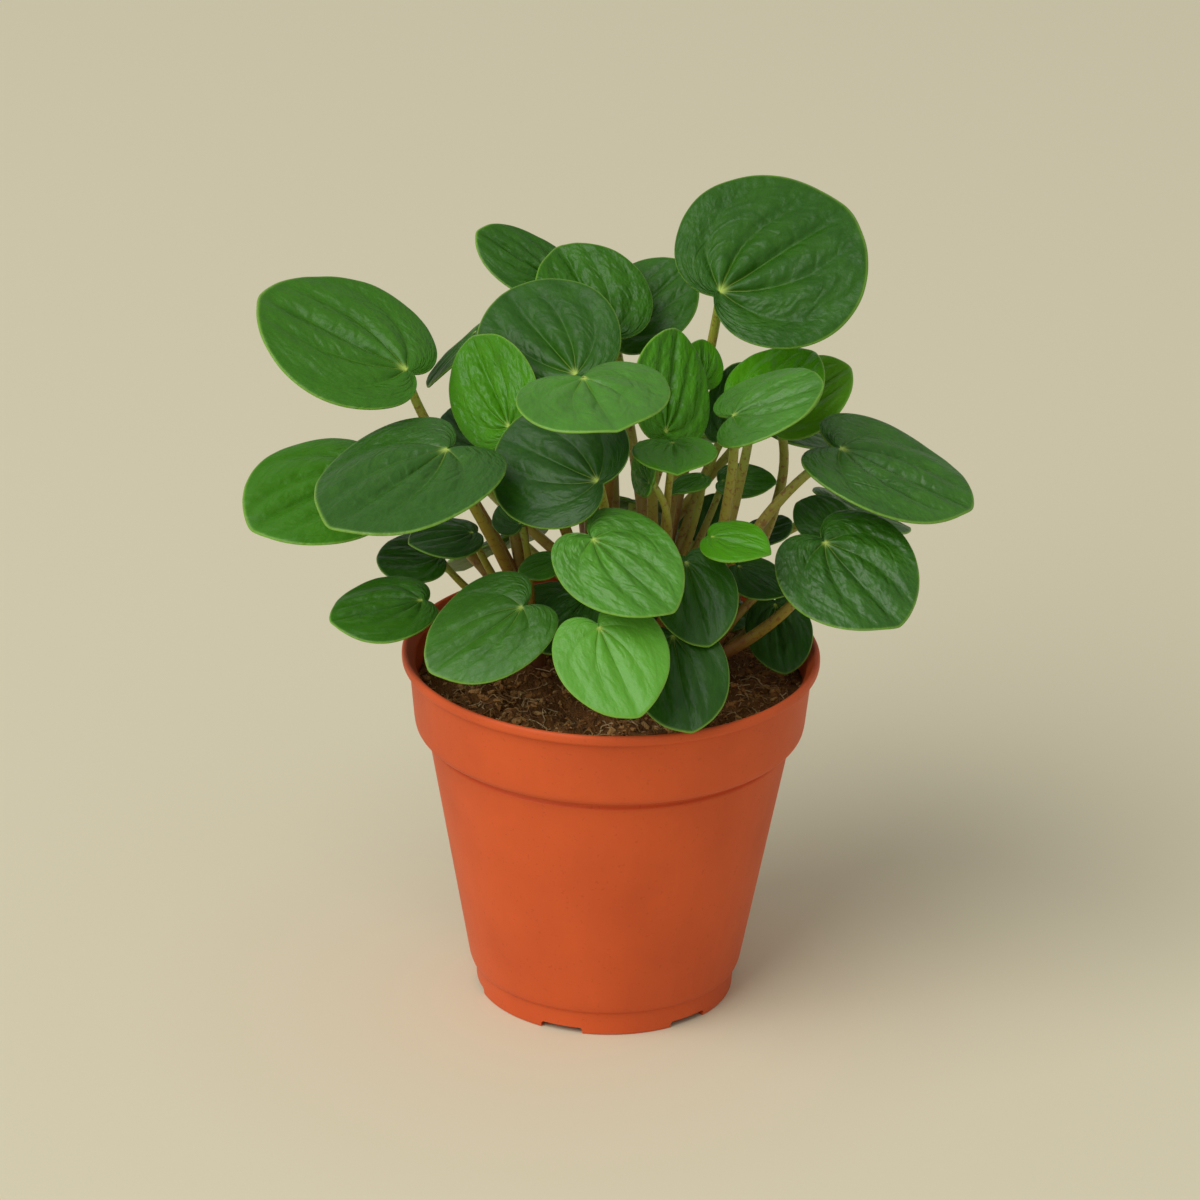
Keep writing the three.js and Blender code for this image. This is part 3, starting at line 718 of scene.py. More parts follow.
def add_bump(tree, surface, height):
    """Relief too fine for the mesh."""
    bump = add_node(tree, "ShaderNodeBump", {"Height": height, "Distance": MM})
    tree.links.new(bump.outputs["Normal"], surface.inputs["Normal"])


def mix_blade_finish(form, paint):
    """The skin of one form of blade, with the drawing laid over its own greens."""
    material, tree, surface = new_finish(f"{SLOTS[form]} skin", Subsurface_Weight=FLESH_SHARE,
                                         Subsurface_Radius=FLESH_DEPTH, Subsurface_Scale=FLESH_SCALE,
                                         Specular_IOR_Level=SHINE[form])
    drawn = add_node(tree, "ShaderNodeGroup", node_tree=blade_pattern)
    part = {output.name: Term(output) for output in drawn.outputs}
    blotch = noise_at(tree, object_place(tree), BLOTCH_SCALE, 3.0)
    # Painted shade and light: a low tone darkens a blade that lies in the shade of others, and a tone
    # above 1 mixes in the painted backlight. The rest of the tone is the blade's own age.
    green_by_age_and_painted_shade = limit(part["Tone"] * TONE_STRENGTH + MIDDLE_TONE + (blotch - 0.5) * BLOTCH_STRENGTH)
    upper = mix(tree, green_by_age_and_painted_shade, paint["dark"], paint["light"])
    upper = mix(tree, limit(part["Tone"] - 1), upper, BACKLIT_GREEN)
    for mask, share, colour in DRAWN_COLOURS:
        upper = mix(tree, limit(part[mask] * share), upper, colour)
    whole = mix(tree, part["Under"] * UNDER_SHARE, upper, paint["under"])
    whole = mix(tree, limit(part["Spot"] * SPOT_SHARE), whole, JOINT_GREEN)
    tree.links.new(whole, surface.inputs["Base Color"])
    dullness = part["Speckle"] * SPECKLE_DULLNESS + part["Under"] * UNDER_DULLNESS
    fill_socket(surface, "Roughness", dullness + SKIN_ROUGHNESS[form])
    add_bump(tree, surface, part["Height"])
    return material


blade_finishes = {form: mix_blade_finish(form, paint) for form, paint in BLADE_PAINTS.items()}
print("blade finishes:", ", ".join(material.name for material in blade_finishes.values()))

# %% [markdown]
# ## The fifty-three blades
#
# The tree runs once for each blade with that blade's own sizes. The result is turned and moved into
# place in its mesh, so that the finished object itself stays at the origin. A second attribute keeps
# what the whole blade shares: its seed, its tone and its length. A third keeps how much its skin
# puckers.

# %% Grow the blades
FINE, SMALL = dict(Spokes=121, Rings=37), dict(Spokes=73, Rings=25)
PHASE_STEP = 2.4


def grow_blade(leaf):
    """One blade, grown, marked for its finish and moved to its joint."""
    name = f"leaf_{leaf['number']:02d}"
    values = dict(FINE if leaf["length"] >= LARGE_LEAF else SMALL)
    values |= {"Length": leaf["length"] * MM, "Width": leaf["width"] * MM}
    values |= {label.capitalize(): float(value) for label, value in FORMS[leaf["form"]].items()}
    values |= {"Phase": PHASE_STEP * (leaf["number"] - 1), "Finish": blade_finishes[leaf["form"]]}
    values |= {"Side veins": SIDE_VEINS[leaf["form"]], "Quilt": QUILTS.get(leaf["number"], 1.0)}
    mesh = grow(name, blade_tree, values)
    own = mesh.attributes.new("own", "FLOAT_VECTOR", "POINT")
    shared = (values["Phase"], leaf["tone"], float(leaf["length"]))
    own.data.foreach_set("vector", shared * len(mesh.vertices))
    puckered = mesh.attributes.new("puckered", "FLOAT", "POINT")
    amount = values["Quilt"] * PUCKERS[leaf["form"]]
    puckered.data.foreach_set("value", [amount] * len(mesh.vertices))
    turn = Matrix((leaf["along"], leaf["across"], leaf["face"])).transposed().to_4x4()
    mesh.transform(Matrix.Translation(leaf["joint"] * MM) @ turn)
    return show(f"blade_{leaf['number']:02d}", mesh, SLOTS[leaf["form"]], name)


def face_outwards(mesh):
    """Turn the faces of a closed mesh outwards and count what isn't closed."""
    body = bmesh.new()
    body.from_mesh(mesh)
    if body.calc_volume(signed=True) < 0:
        bmesh.ops.reverse_faces(body, faces=body.faces)
    open_edges = sum(not edge.is_manifold for edge in body.edges)
    body.to_mesh(mesh)
    body.free()
    return open_edges


blades = [grow_blade(leaf) for leaf in leaves]
open_edges = sum(face_outwards(blade.data) for blade in blades)
print(sum(len(blade.data.polygons) for blade in blades), "faces in the blades,", open_edges, "open edges")

# %% [markdown]
# ## Petioles
#
# Each petiole is a round fleshy stalk. It is thickest where it leaves the crown, thins on its way, and
# swells a little again under the blade. Its route is a curve with two handles, the same as in the CAD
# model. One mesh of plain edges holds all the routes of a crown. Geometry Nodes turn the edges into
# curves, run a circle along them, and store how far along the stalk each point lies, because a
# petiole is red-brown at its foot and turns yellow-green towards the blade.

# %% Lay the petioles' routes
SOIL_TOP = 83
# The higher a blade's joint lies over the soil, the higher up its crown the petiole starts, between a
# lowest and a highest share of the crown's height.
LOW_JOINT, JOINT_RANGE = 15, 90
LOWEST_START, HIGHEST_START = 0.1, 0.85
# The handles of the curve, as shares of its span, and how steeply it leaves the crown.
BEND_START, BEND_END, LEAVE_UP = 0.35, 0.3, 0.5
# How squarely it meets the blade, how much more so where the blade faces back to its crown, and how far
# it turns on along the midrib.
SQUARE, SQUARE_MORE, FACING, TURN_ON = 0.9, 1.2, 0.5, 0.2
SINK = 0.25
ROUTE_STEPS = 22
PETIOLE_BASE_RADIUS, PETIOLE_END_RADIUS, SMALL_PETIOLE = 1.75, 1.1, 0.75


def petiole_route(leaf):
    """Points from inside the crown to just inside the blade's joint, in millimetres."""
    x, y, height = CROWNS[leaf["crown"]]
    joint, face = leaf["joint"], leaf["face"]
    climb = min(max((joint.z - SOIL_TOP - LOW_JOINT) / JOINT_RANGE, LOWEST_START), HIGHEST_START)
    start = Vector((x, y, SOIL_TOP + climb * height))
    outward = (joint - start).normalized()
    distance = (joint - start).length
    square = SQUARE + SQUARE_MORE * max(0, FACING - outward.dot(face))
    arrive = (outward + face * square + leaf["along"] * TURN_ON).normalized()
    leave = (outward + Vector((0, 0, LEAVE_UP))).normalized()
    first = start + leave * distance * BEND_START + leaf["swing"]
    second = joint - arrive * distance * BEND_END + leaf["swing"]
    end = joint - face * SINK
    points = []
    for step in range(ROUTE_STEPS + 1):
        t = step / ROUTE_STEPS
        weights = ((1 - t) ** 3, 3 * t * (1 - t) ** 2, 3 * t * t * (1 - t), t ** 3)
        points.append(sum((w * p for w, p in zip(weights, (start, first, second, end))), Vector()))
    return points


def lay_routes(name, crown_leaves):
    """A mesh of edges along every petiole of a crown, with the stalk's fullness on each point."""
    points, edges, fullness = [], [], []
    for leaf in crown_leaves:
        route = petiole_route(leaf)
        edges += [(len(points) + i, len(points) + i + 1) for i in range(len(route) - 1)]
        points += [point * MM for point in route]
        fullness += [1.0 if leaf["length"] >= LARGE_LEAF else SMALL_PETIOLE] * len(route)
    mesh = bpy.data.meshes.new(name)
    mesh.from_pydata(points, edges, [])
    mesh.attributes.new("fullness", "FLOAT", "POINT").data.foreach_set("value", fullness)
    return mesh


print("the first route starts at", [round(value, 1) for value in petiole_route(leaves[0])[0]])

# %% Build the petiole tree
FOOT_SWELL, NECK_SWELL = 0.22, 0.16
FOOT_REACH, NECK_REACH = 0.1, 0.035
KNOBBLE = 0.1
KNOBBLE_SCALE = 420


def build_petiole_tree():
    """The tree that runs a tapering tube along every route."""
    inputs = {"Routes": "mesh", "Base radius": "number", "End radius": "number", "Sides": "count",
              "Finish": "finish"}
    tree, start, end = start_tree("Petioles", "GeometryNodeTree", inputs, {"Stalks": "mesh"})
    curves = add_node(tree, "GeometryNodeMeshToCurve", {"Mesh": start.outputs["Routes"]})
    way = Term(add_node(tree, "GeometryNodeSplineParameter").outputs["Factor"])
    marked = add_node(tree, "GeometryNodeStoreNamedAttribute", {
        "Geometry": curves.outputs[0], "Name": "way", "Value": way,
    }, data_type="FLOAT", domain="POINT")
    full = Term(add_node(tree, "GeometryNodeInputNamedAttribute", {"Name": "fullness"}).outputs[0])
    thin = Term(start.outputs["Base radius"])
    thin = thin + (Term(start.outputs["End radius"]) - thin) * way
    swell = bell(way, FOOT_REACH) * FOOT_SWELL + bell(1 - way, NECK_REACH) * NECK_SWELL
    place = add_node(tree, "GeometryNodeInputPosition").outputs[0]
    lumps = noise_at(tree, place, KNOBBLE_SCALE, 1.0)
    radius = thin * full * (swell + 1 + (lumps - 0.5) * KNOBBLE)
    ring = add_node(tree, "GeometryNodeCurvePrimitiveCircle", {
        "Resolution": start.outputs["Sides"], "Radius": 1.0,
    })
    stalks = add_node(tree, "GeometryNodeCurveToMesh", {
        "Curve": marked.outputs[0], "Profile Curve": ring.outputs[0], "Scale": radius, "Fill Caps": True,
    })
    end_tree(tree, start, end, smoothed(tree, stalks.outputs[0]))
    return tree


petiole_tree = build_petiole_tree()
print("the petiole tree has", len(petiole_tree.nodes), "nodes")

# %% [markdown]
# ## The finish of stalks
#
# The stalk is smooth and a little glossy, with many small reddish flecks. They could be painted on as a
# picture, but noise of a small scale gives them on every stalk alike. The colour follows the stored way
# along the stalk, through a colour ramp, so that it doesn't depend on how long or how steep a petiole
# is.

# %% Mix the stalk finish
STALK_COLOURS = ((0.0, (0.17, 0.058, 0.018)), (0.2, (0.26, 0.12, 0.025)), (0.42, (0.32, 0.22, 0.03)),
                 (0.75, (0.33, 0.31, 0.035)), (1.0, (0.31, 0.40, 0.05)))
STALK_DEPTH, STALK_SHARE = (1.0, 0.7, 0.2), 0.15
STALK_BLOTCH_SCALE, STALK_BLOTCH_STRENGTH = 140, 0.5
# A fleck shows where its noise passes a level. The gain makes its edge crisp.
FLECK_RED = (0.22, 0.075, 0.02)
FLECK_SCALE, FLECK_LEVEL, FLECK_GAIN, FLECK_SHARE, FLECK_HEIGHT = 900, 0.56, 9, 0.75, 0.06
STALK_ROUGHNESS, STALK_ROUGHNESS_RANGE = 0.3, 0.25


def run_colours(tree, share, stops):
    """A colour that runs through the stops while the share goes from 0 to 1."""
    node = add_node(tree, "ShaderNodeValToRGB", {"Fac": share})
    ramp = node.color_ramp
    while len(ramp.elements) < len(stops):
        ramp.elements.new(1.0)
    for stop, (position, colour) in zip(ramp.elements, stops):
        stop.position, stop.color = position, (*colour, 1)
    return node.outputs["Color"]


def spots(noise_term, level, gain):
    """1 where the noise is well over the level, 0 where it is under it."""
    return limit((noise_term - level) * gain)


def mix_stalk_finish():
    """The skin of petioles and crowns."""
    material, tree, surface = new_finish("petiole skin", Subsurface_Weight=STALK_SHARE,
                                         Subsurface_Radius=STALK_DEPTH, Subsurface_Scale=FLESH_SCALE)
    place = object_place(tree)
    blotch = noise_at(tree, place, STALK_BLOTCH_SCALE, 2.0)
    flecks = noise_at(tree, place, FLECK_SCALE, 2.0)
    way = limit(Term(read_attribute(tree, "way")) + (blotch - 0.5) * STALK_BLOTCH_STRENGTH)
    fleck = spots(flecks, FLECK_LEVEL, FLECK_GAIN)
    skin = mix(tree, fleck * FLECK_SHARE, run_colours(tree, way, STALK_COLOURS), FLECK_RED)
    tree.links.new(skin, surface.inputs["Base Color"])
    fill_socket(surface, "Roughness", flecks * STALK_ROUGHNESS_RANGE + STALK_ROUGHNESS)
    add_bump(tree, surface, flecks * FLECK_HEIGHT)
    return material


stalk_finish = mix_stalk_finish()
print("stalk finish:", stalk_finish.name)

# %% [markdown]
# ## The five crowns
#
# A crown is the short thick stem in the soil from which the petioles grow. It is turned like a vase
# from an outline, joined with its petioles, and given the stored value of a stalk's foot.

# %% Grow the crowns
ROOT_DEPTH, CROWN_RADIUS, CROWN_EDGE, CROWN_SHOULDER = 16, 3.8, 1, 2
# How the crown narrows above its shoulder: shares of its radius and of its height over the soil.
CROWN_TAPER = ((0.75, 0.8), (0.55, 0.94), (0.3, 1), (0, 1))
CROWN_SIDES, STALK_SIDES = 24, 14


def as_mesh(name, body):
    """The edited body as a new mesh."""
    mesh = bpy.data.meshes.new(name)
    body.to_mesh(mesh)
    body.free()
    return mesh


def turned(name, outline, sides):
    """A closed body turned round the upright axis from radius and height pairs, in millimetres."""
    body = bmesh.new()
    rings = []
    for radius, height in outline:
        count = sides if radius > 0 else 1
        angles = [2 * math.pi * side / sides for side in range(count)]
        rings.append([body.verts.new((radius * MM * math.cos(a), radius * MM * math.sin(a), height * MM))
                      for a in angles])
    for lower, upper in zip(rings, rings[1:]):
        for side in range(sides):
            corners = [lower[side % len(lower)], lower[(side + 1) % len(lower)],
                       upper[(side + 1) % len(upper)], upper[side % len(upper)]]
            body.faces.new(list(dict.fromkeys(corners)))
    bmesh.ops.recalc_face_normals(body, faces=body.faces)
    return as_mesh(name, body)


def joined(name, *meshes):
    """Several meshes as one, with their materials and attributes."""
    objects = [add_object(name, mesh) for mesh in meshes]
    with bpy.context.temp_override(active_object=objects[0], object=objects[0],
                                   selected_editable_objects=objects, selected_objects=objects):
        bpy.ops.object.join()
    mesh = objects[0].data
    bpy.data.objects.remove(objects[0])
    return mesh


def grow_crown(crown):
    """A crown's stump and all its petioles as one piece."""
    x, y, height = CROWNS[crown]
    crown_leaves = [leaf for leaf in leaves if leaf["crown"] == crown]
    foot = SOIL_TOP - ROOT_DEPTH
    taper = [(CROWN_RADIUS * wide, SOIL_TOP + height * high) for wide, high in CROWN_TAPER]
    stump = turned("stump", [
        (0, foot), (CROWN_RADIUS - CROWN_EDGE, foot), (CROWN_RADIUS, foot + CROWN_EDGE),
        (CROWN_RADIUS, SOIL_TOP + CROWN_SHOULDER), *taper,
    ], CROWN_SIDES)
    stump.transform(Matrix.Translation((x * MM, y * MM, 0)))
    stump.shade_smooth()
    stump.materials.append(stalk_finish)
    stump.attributes.new("way", "FLOAT", "POINT")
    stalks = grow(f"stalks {crown}", petiole_tree, {
        "Base radius": PETIOLE_BASE_RADIUS * MM, "End radius": PETIOLE_END_RADIUS * MM,
        "Sides": STALK_SIDES, "Finish": stalk_finish,
    }, lay_routes(f"routes {crown}", crown_leaves))
    mesh = joined(f"crown_{crown}", stalks, stump)
    face_outwards(mesh)
    return show(f"crown_{crown}", mesh, "petiole", f"stems_{crown}")


crowns = [grow_crown(crown) for crown in CROWNS]
print("faces in each crown:", [len(crown.data.polygons) for crown in crowns])

# %% [markdown]
# ## The pot
#
# The pot is one thin moulded shell: a lip, a collar that stacks on the next pot, a tapering body, and a
# foot ring with notches that let water out. A moulded pot is round about an axis, so its outline is
# turned, with every corner of the outline rounded first, as a mould leaves it. The notches and the
# drain holes are cut with a Boolean modifier, because they don't follow the turning, and points that a
# cut leaves within a hair's breadth of each other are merged. A shallow groove where the body meets
# the collar makes the thin dark line that is seen there.

# %% Turn and cut the pot
POT_SIDES = 160
POT_HEIGHT, LIP_RADIUS, LIP_INNER_RADIUS, LIP_DEPTH = 92, 52.5, 51.3, 2.9
COLLAR_TOP_RADIUS, COLLAR_BOTTOM_RADIUS, COLLAR_BOTTOM, COLLAR_ROUNDING = 50.7, 49.2, 71.2, 3
GROOVE_HEIGHT, GROOVE_DEPTH = 2.2, 0.75
BODY_TOP_RADIUS, BODY_BOTTOM_RADIUS, BODY_BOTTOM = 46, 34.6, 8.6
FOOT_RADIUS, FOOT_HEIGHT, FOOT_THICKNESS = 32.6, 6.3, 2
WALL, EDGE, LIP_EDGE, COLLAR_LEDGE = 1.4, 0.4, 0.3, 1.2
FLOOR_UNDERSIDE, FLOOR_CORNER = 4.2, 1
FLOOR_TOP = FLOOR_UNDERSIDE + WALL
# The first notch's place is an angle in degrees. Its tool reaches past the foot ring on both sides.
NOTCH_COUNT, NOTCH_START, NOTCH_WIDTH, NOTCH_HEIGHT = 6, -109, 11, 1.7
NOTCH_ROUNDING, NOTCH_REACH = 0.5, 4
DRAIN_RADIUS, DRAIN_RING_RADIUS = 3.5, 21
DRAIN_SIDES, DRAIN_POST_FOOT = 32, 1
# A corner's curve takes up at most this share of the shorter edge beside it.
CORNER_ROUNDING, CORNER_STEPS, CORNER_SHARE = 0.5, 4, 0.45
SHARP_ANGLE = math.radians(40)
# Points closer than this along a cut are merged, in metres.
SLIVER = 2e-6


def inner_radius(height):
    """Radius of the pot's inner wall at a height."""
    if height > COLLAR_BOTTOM:
        rise = (height - COLLAR_BOTTOM) / (POT_HEIGHT - COLLAR_BOTTOM)
        return COLLAR_BOTTOM_RADIUS - WALL + rise * (COLLAR_TOP_RADIUS - COLLAR_BOTTOM_RADIUS)
    rise = (height - BODY_BOTTOM) / (COLLAR_BOTTOM - BODY_BOTTOM)
    return BODY_BOTTOM_RADIUS - WALL + rise * (BODY_TOP_RADIUS - BODY_BOTTOM_RADIUS)


def rounded(outline):
    """The outline with every corner but its two ends replaced by a short curve."""
    points = [Vector(point) for point in outline]
    soft = [points[0]]
    for before, corner, after in zip(points, points[1:], points[2:]):
        into, out = before - corner, after - corner
        first = corner + into.normalized() * min(CORNER_ROUNDING, into.length * CORNER_SHARE)
        last = corner + out.normalized() * min(CORNER_ROUNDING, out.length * CORNER_SHARE)
        for step in range(CORNER_STEPS + 1):
            t = step / CORNER_STEPS
            soft.append((1 - t) ** 2 * first + 2 * t * (1 - t) * corner + t * t * last)
    return [tuple(point) for point in (*soft, points[-1])]


def cut(mesh, name, *tools):
    """The mesh with the tools' shapes taken out of it, and the slivers along the cuts closed."""
    body, tool = add_object(name, mesh), add_object("tool", joined("tool", *tools))
    modifier = body.modifiers.new("cut", "BOOLEAN")
    modifier.object, modifier.operation, modifier.solver = tool, "DIFFERENCE", "EXACT"
    graph = bpy.context.evaluated_depsgraph_get()
    done = bpy.data.meshes.new_from_object(body.evaluated_get(graph), depsgraph=graph)
    bpy.data.objects.remove(body)
    bpy.data.objects.remove(tool)
    shell = bmesh.new()
    shell.from_mesh(done)
    bmesh.ops.remove_doubles(shell, verts=shell.verts, dist=SLIVER)
    shell.to_mesh(done)
    shell.free()
    return done


def notch_tool(angle):
    """A block that cuts one notch in the foot ring, with its top corners taken off."""
    half, top, soft = NOTCH_WIDTH / 2 * MM, NOTCH_HEIGHT * MM, NOTCH_ROUNDING * MM
    rim = [(-half, -top), (half, -top), (half, top - soft), (half - soft, top), (soft - half, top),
           (-half, top - soft)]
    body = bmesh.new()
    near = [body.verts.new(((FOOT_RADIUS - NOTCH_REACH) * MM, y, z)) for y, z in rim]
    far = [body.verts.new(((FOOT_RADIUS + NOTCH_REACH) * MM, y, z)) for y, z in rim]
    body.faces.new(near)
    body.faces.new(far)
    for i in range(len(rim)):
        j = (i + 1) % len(rim)
        body.faces.new((near[i], near[j], far[j], far[i]))
    bmesh.ops.recalc_face_normals(body, faces=body.faces)
    mesh = as_mesh("notch", body)
    mesh.transform(Matrix.Rotation(math.radians(angle), 4, "Z"))
    return mesh


def drain_tool(x, y):
    """A post that cuts one drain hole."""
    foot, top = DRAIN_POST_FOOT, 2 * FLOOR_TOP
    post = turned("drain", [(0, foot), (DRAIN_RADIUS, foot), (DRAIN_RADIUS, top), (0, top)], DRAIN_SIDES)
    post.transform(Matrix.Translation((x * MM, y * MM, 0)))
    return post


def make_pot(finish):
    """The turned shell with its notches and drain holes, as one piece."""
    lip, ledge, groove = POT_HEIGHT - LIP_DEPTH, COLLAR_BOTTOM + WALL, COLLAR_BOTTOM - GROOVE_HEIGHT
    outline = [
        (0, FLOOR_UNDERSIDE), (FOOT_RADIUS - FOOT_THICKNESS, FLOOR_UNDERSIDE),
        (FOOT_RADIUS - FOOT_THICKNESS, 0), (FOOT_RADIUS, 0), (FOOT_RADIUS + EDGE, FOOT_HEIGHT),
        (BODY_BOTTOM_RADIUS - 1.5 * EDGE, FOOT_HEIGHT + 1.5 * EDGE), (BODY_BOTTOM_RADIUS, BODY_BOTTOM),
        (inner_radius(groove) + WALL, groove),
        (inner_radius(groove) + WALL - GROOVE_DEPTH, groove + GROOVE_DEPTH),
        (BODY_TOP_RADIUS - GROOVE_DEPTH, COLLAR_BOTTOM),
        (COLLAR_BOTTOM_RADIUS - COLLAR_LEDGE, COLLAR_BOTTOM + EDGE),
        (COLLAR_BOTTOM_RADIUS - COLLAR_LEDGE / 4, COLLAR_BOTTOM + COLLAR_ROUNDING / 2),
        (COLLAR_BOTTOM_RADIUS, COLLAR_BOTTOM + COLLAR_ROUNDING), (COLLAR_TOP_RADIUS, lip),
        (LIP_RADIUS - LIP_EDGE, lip + LIP_EDGE), (LIP_RADIUS, lip + 3 * LIP_EDGE),
        (LIP_RADIUS, POT_HEIGHT - 2 * LIP_EDGE), (LIP_RADIUS - EDGE, POT_HEIGHT),
        (LIP_INNER_RADIUS, POT_HEIGHT), (inner_radius(lip), lip),
        (inner_radius(ledge + COLLAR_LEDGE), ledge + COLLAR_LEDGE), (inner_radius(COLLAR_BOTTOM), ledge),
        (inner_radius(BODY_BOTTOM), BODY_BOTTOM), (inner_radius(BODY_BOTTOM) - FLOOR_CORNER, FLOOR_TOP),
        (0, FLOOR_TOP),
    ]
    turns = [NOTCH_START + 360 / NOTCH_COUNT * i for i in range(NOTCH_COUNT)]
    between = [math.radians(angle + 180 / NOTCH_COUNT) for angle in turns]
    drains = [(DRAIN_RING_RADIUS * math.cos(a), DRAIN_RING_RADIUS * math.sin(a)) for a in between]
    tools = [notch_tool(angle) for angle in turns]
    tools += [drain_tool(x, y) for x, y in (*drains, (0, 0))]
    mesh = cut(turned("shell", rounded(outline), POT_SIDES), "shell", *tools)
    mesh.shade_smooth()
    mesh.set_sharp_from_angle(angle=SHARP_ANGLE)
    mesh.materials.clear()
    mesh.materials.append(finish)
    return show("nursery_pot", mesh, "pot", "pot")


# %% [markdown]
# ## Moulded plastic
#
# The pot's plastic is satin: its gloss is broad, the colour is even, and only close by does the skin
# show the fine grain of the mould, faint flow marks that run up the wall, small brown specks and a few
# dull smudges. All of that is read from the object's own coordinates, with the flow marks stretched
# along the wall.

# %% Mix the plastic and make the pot
TERRACOTTA, TERRACOTTA_DULL = (0.66, 0.105, 0.025), (0.55, 0.085, 0.022)
PLASTIC_SHINE, PLASTIC_DEPTH, PLASTIC_SHARE = 0.2, (1.0, 0.35, 0.15), 0.04
SMUDGE_SCALE, SMUDGE_LEVEL, SMUDGE_GAIN, SMUDGE_SHARE = 38, 0.40, 2.6, 0.9
FLOW_STRETCH, FLOW_SHARE = (260, 260, 9), 0.25
SPECK_BROWN = (0.28, 0.05, 0.018)
SPECK_SCALE, SPECK_LEVEL, SPECK_GAIN, SPECK_SHARE = 1100, 0.67, 14, 0.22
MOULD_GRAIN_SCALE, PLASTIC_RELIEF = 2200, 0.03
PLASTIC_ROUGHNESS, SMUDGE_DULLNESS, GRAIN_DULLNESS = 0.36, 0.16, 0.1


def mix_plastic():
    """The pot's satin plastic."""
    material, tree, surface = new_finish("terracotta plastic", Specular_IOR_Level=PLASTIC_SHINE,
                                         Subsurface_Weight=PLASTIC_SHARE,
                                         Subsurface_Radius=PLASTIC_DEPTH, Subsurface_Scale=MM)
    place = object_place(tree)
    stretched = add_node(tree, "ShaderNodeMapping", {"Vector": place, "Scale": FLOW_STRETCH})
    flow = noise_at(tree, stretched.outputs[0], 1.0, 3.0)
    smudge = noise_at(tree, place, SMUDGE_SCALE, 4.0)
    grain = noise_at(tree, place, MOULD_GRAIN_SCALE, 2.0)
    dull = spots(smudge, SMUDGE_LEVEL, SMUDGE_GAIN) * SMUDGE_SHARE + flow * FLOW_SHARE
    speck = spots(noise_at(tree, place, SPECK_SCALE, 1.0), SPECK_LEVEL, SPECK_GAIN)
    skin = mix(tree, limit(dull), TERRACOTTA, TERRACOTTA_DULL)
    tree.links.new(mix(tree, speck * SPECK_SHARE, skin, SPECK_BROWN), surface.inputs["Base Color"])
    dullness = smudge * SMUDGE_DULLNESS + grain * GRAIN_DULLNESS
    fill_socket(surface, "Roughness", dullness + PLASTIC_ROUGHNESS)
    add_bump(tree, surface, grain * PLASTIC_RELIEF + flow * PLASTIC_RELIEF)
    return material


pot = make_pot(mix_plastic())
pot_open_edges = face_outwards(pot.data)
print("the pot has", len(pot.data.polygons), "faces and", pot_open_edges, "open edges")

# %% [markdown]
# ## Peat
#
# Damp peat is a tangle of fibres and of crumbs that are drawn out like splinters. The bed is a turned
# body whose top is pushed up and down with noise of several sizes. Crumbs and fibres repeat by the
# thousand, so Geometry Nodes scatter them over the top with fixed seeds, each with few faces.

# %% Shape the bed of peat
SOIL_RELIEF, SOIL_MARGIN, CLEARANCE = 1.3, 12, 0.3
SOIL_SIDES, SOIL_RINGS = 240, 70
# Two long waves that cross, in radians for each millimetre, the same as in the CAD model.
FIRST_SWELL, FIRST_SWELL_START, FIRST_CROSS = 0.31, 1.7, 0.27
SECOND_SWELL, SECOND_CROSS, SECOND_SHARE = 0.53, 0.61, 0.6
SWELL_MIDDLE = 0.6
# Each size of lump, as a noise scale and a height, and how much of the lumps is left at the wall.
LUMPS, LUMPS_AT_WALL = ((95, 0.9), (260, 0.8), (620, 0.6)), 0.35
# Faces whose normal rises more than this are the top, on which crumbs lie.
LEVEL_ENOUGH = 0.2


def soil_height(x, y):
    """Height of the peat's surface at a place."""
    fade = min(1, max(0, (inner_radius(SOIL_TOP) - math.hypot(x, y)) / SOIL_MARGIN))
    swells = math.sin(x * FIRST_SWELL + FIRST_SWELL_START) * math.cos(y * FIRST_CROSS)
    swells += SECOND_SHARE * math.sin(x * SECOND_SWELL - y * SECOND_CROSS)
    lumps = sum(size * noise.noise(Vector((x, y, size)) * MM * scale) for scale, size in LUMPS)
    lumps *= LUMPS_AT_WALL + (1 - LUMPS_AT_WALL) * fade
    return SOIL_TOP + SOIL_RELIEF * fade * (SWELL_MIDDLE + swells) + lumps


def shape_soil():
    """The closed body of the peat, and its top alone, on which crumbs are scattered."""
    reach = inner_radius(SOIL_TOP) - CLEARANCE
    top = [(reach * (SOIL_RINGS - ring) / SOIL_RINGS, SOIL_TOP) for ring in range(SOIL_RINGS + 1)]
    bottom, ledge = FLOOR_TOP + CLEARANCE, COLLAR_BOTTOM + WALL + CLEARANCE
    outline = [
        (0, bottom), (inner_radius(BODY_BOTTOM) - CLEARANCE - FLOOR_CORNER, bottom),
        (inner_radius(BODY_BOTTOM) - CLEARANCE, BODY_BOTTOM + CLEARANCE),
        (inner_radius(COLLAR_BOTTOM) - CLEARANCE, ledge),
        (inner_radius(ledge + COLLAR_LEDGE) - CLEARANCE, ledge + COLLAR_LEDGE),
    ]
    mesh = turned("peat", outline + top, SOIL_SIDES)
    for vertex in mesh.vertices:
        if vertex.co.z > (SOIL_TOP - EDGE) * MM:
            vertex.co.z = soil_height(vertex.co.x / MM, vertex.co.y / MM) * MM
    mesh.shade_smooth()
    body = bmesh.new()
    body.from_mesh(mesh)
    hidden = [face for face in body.faces if face.normal.z < LEVEL_ENOUGH]
    bmesh.ops.delete(body, geom=hidden, context="FACES")
    return mesh, as_mesh("ground", body)


soil_body, ground = shape_soil()
print("the bed has", len(soil_body.polygons), "faces")

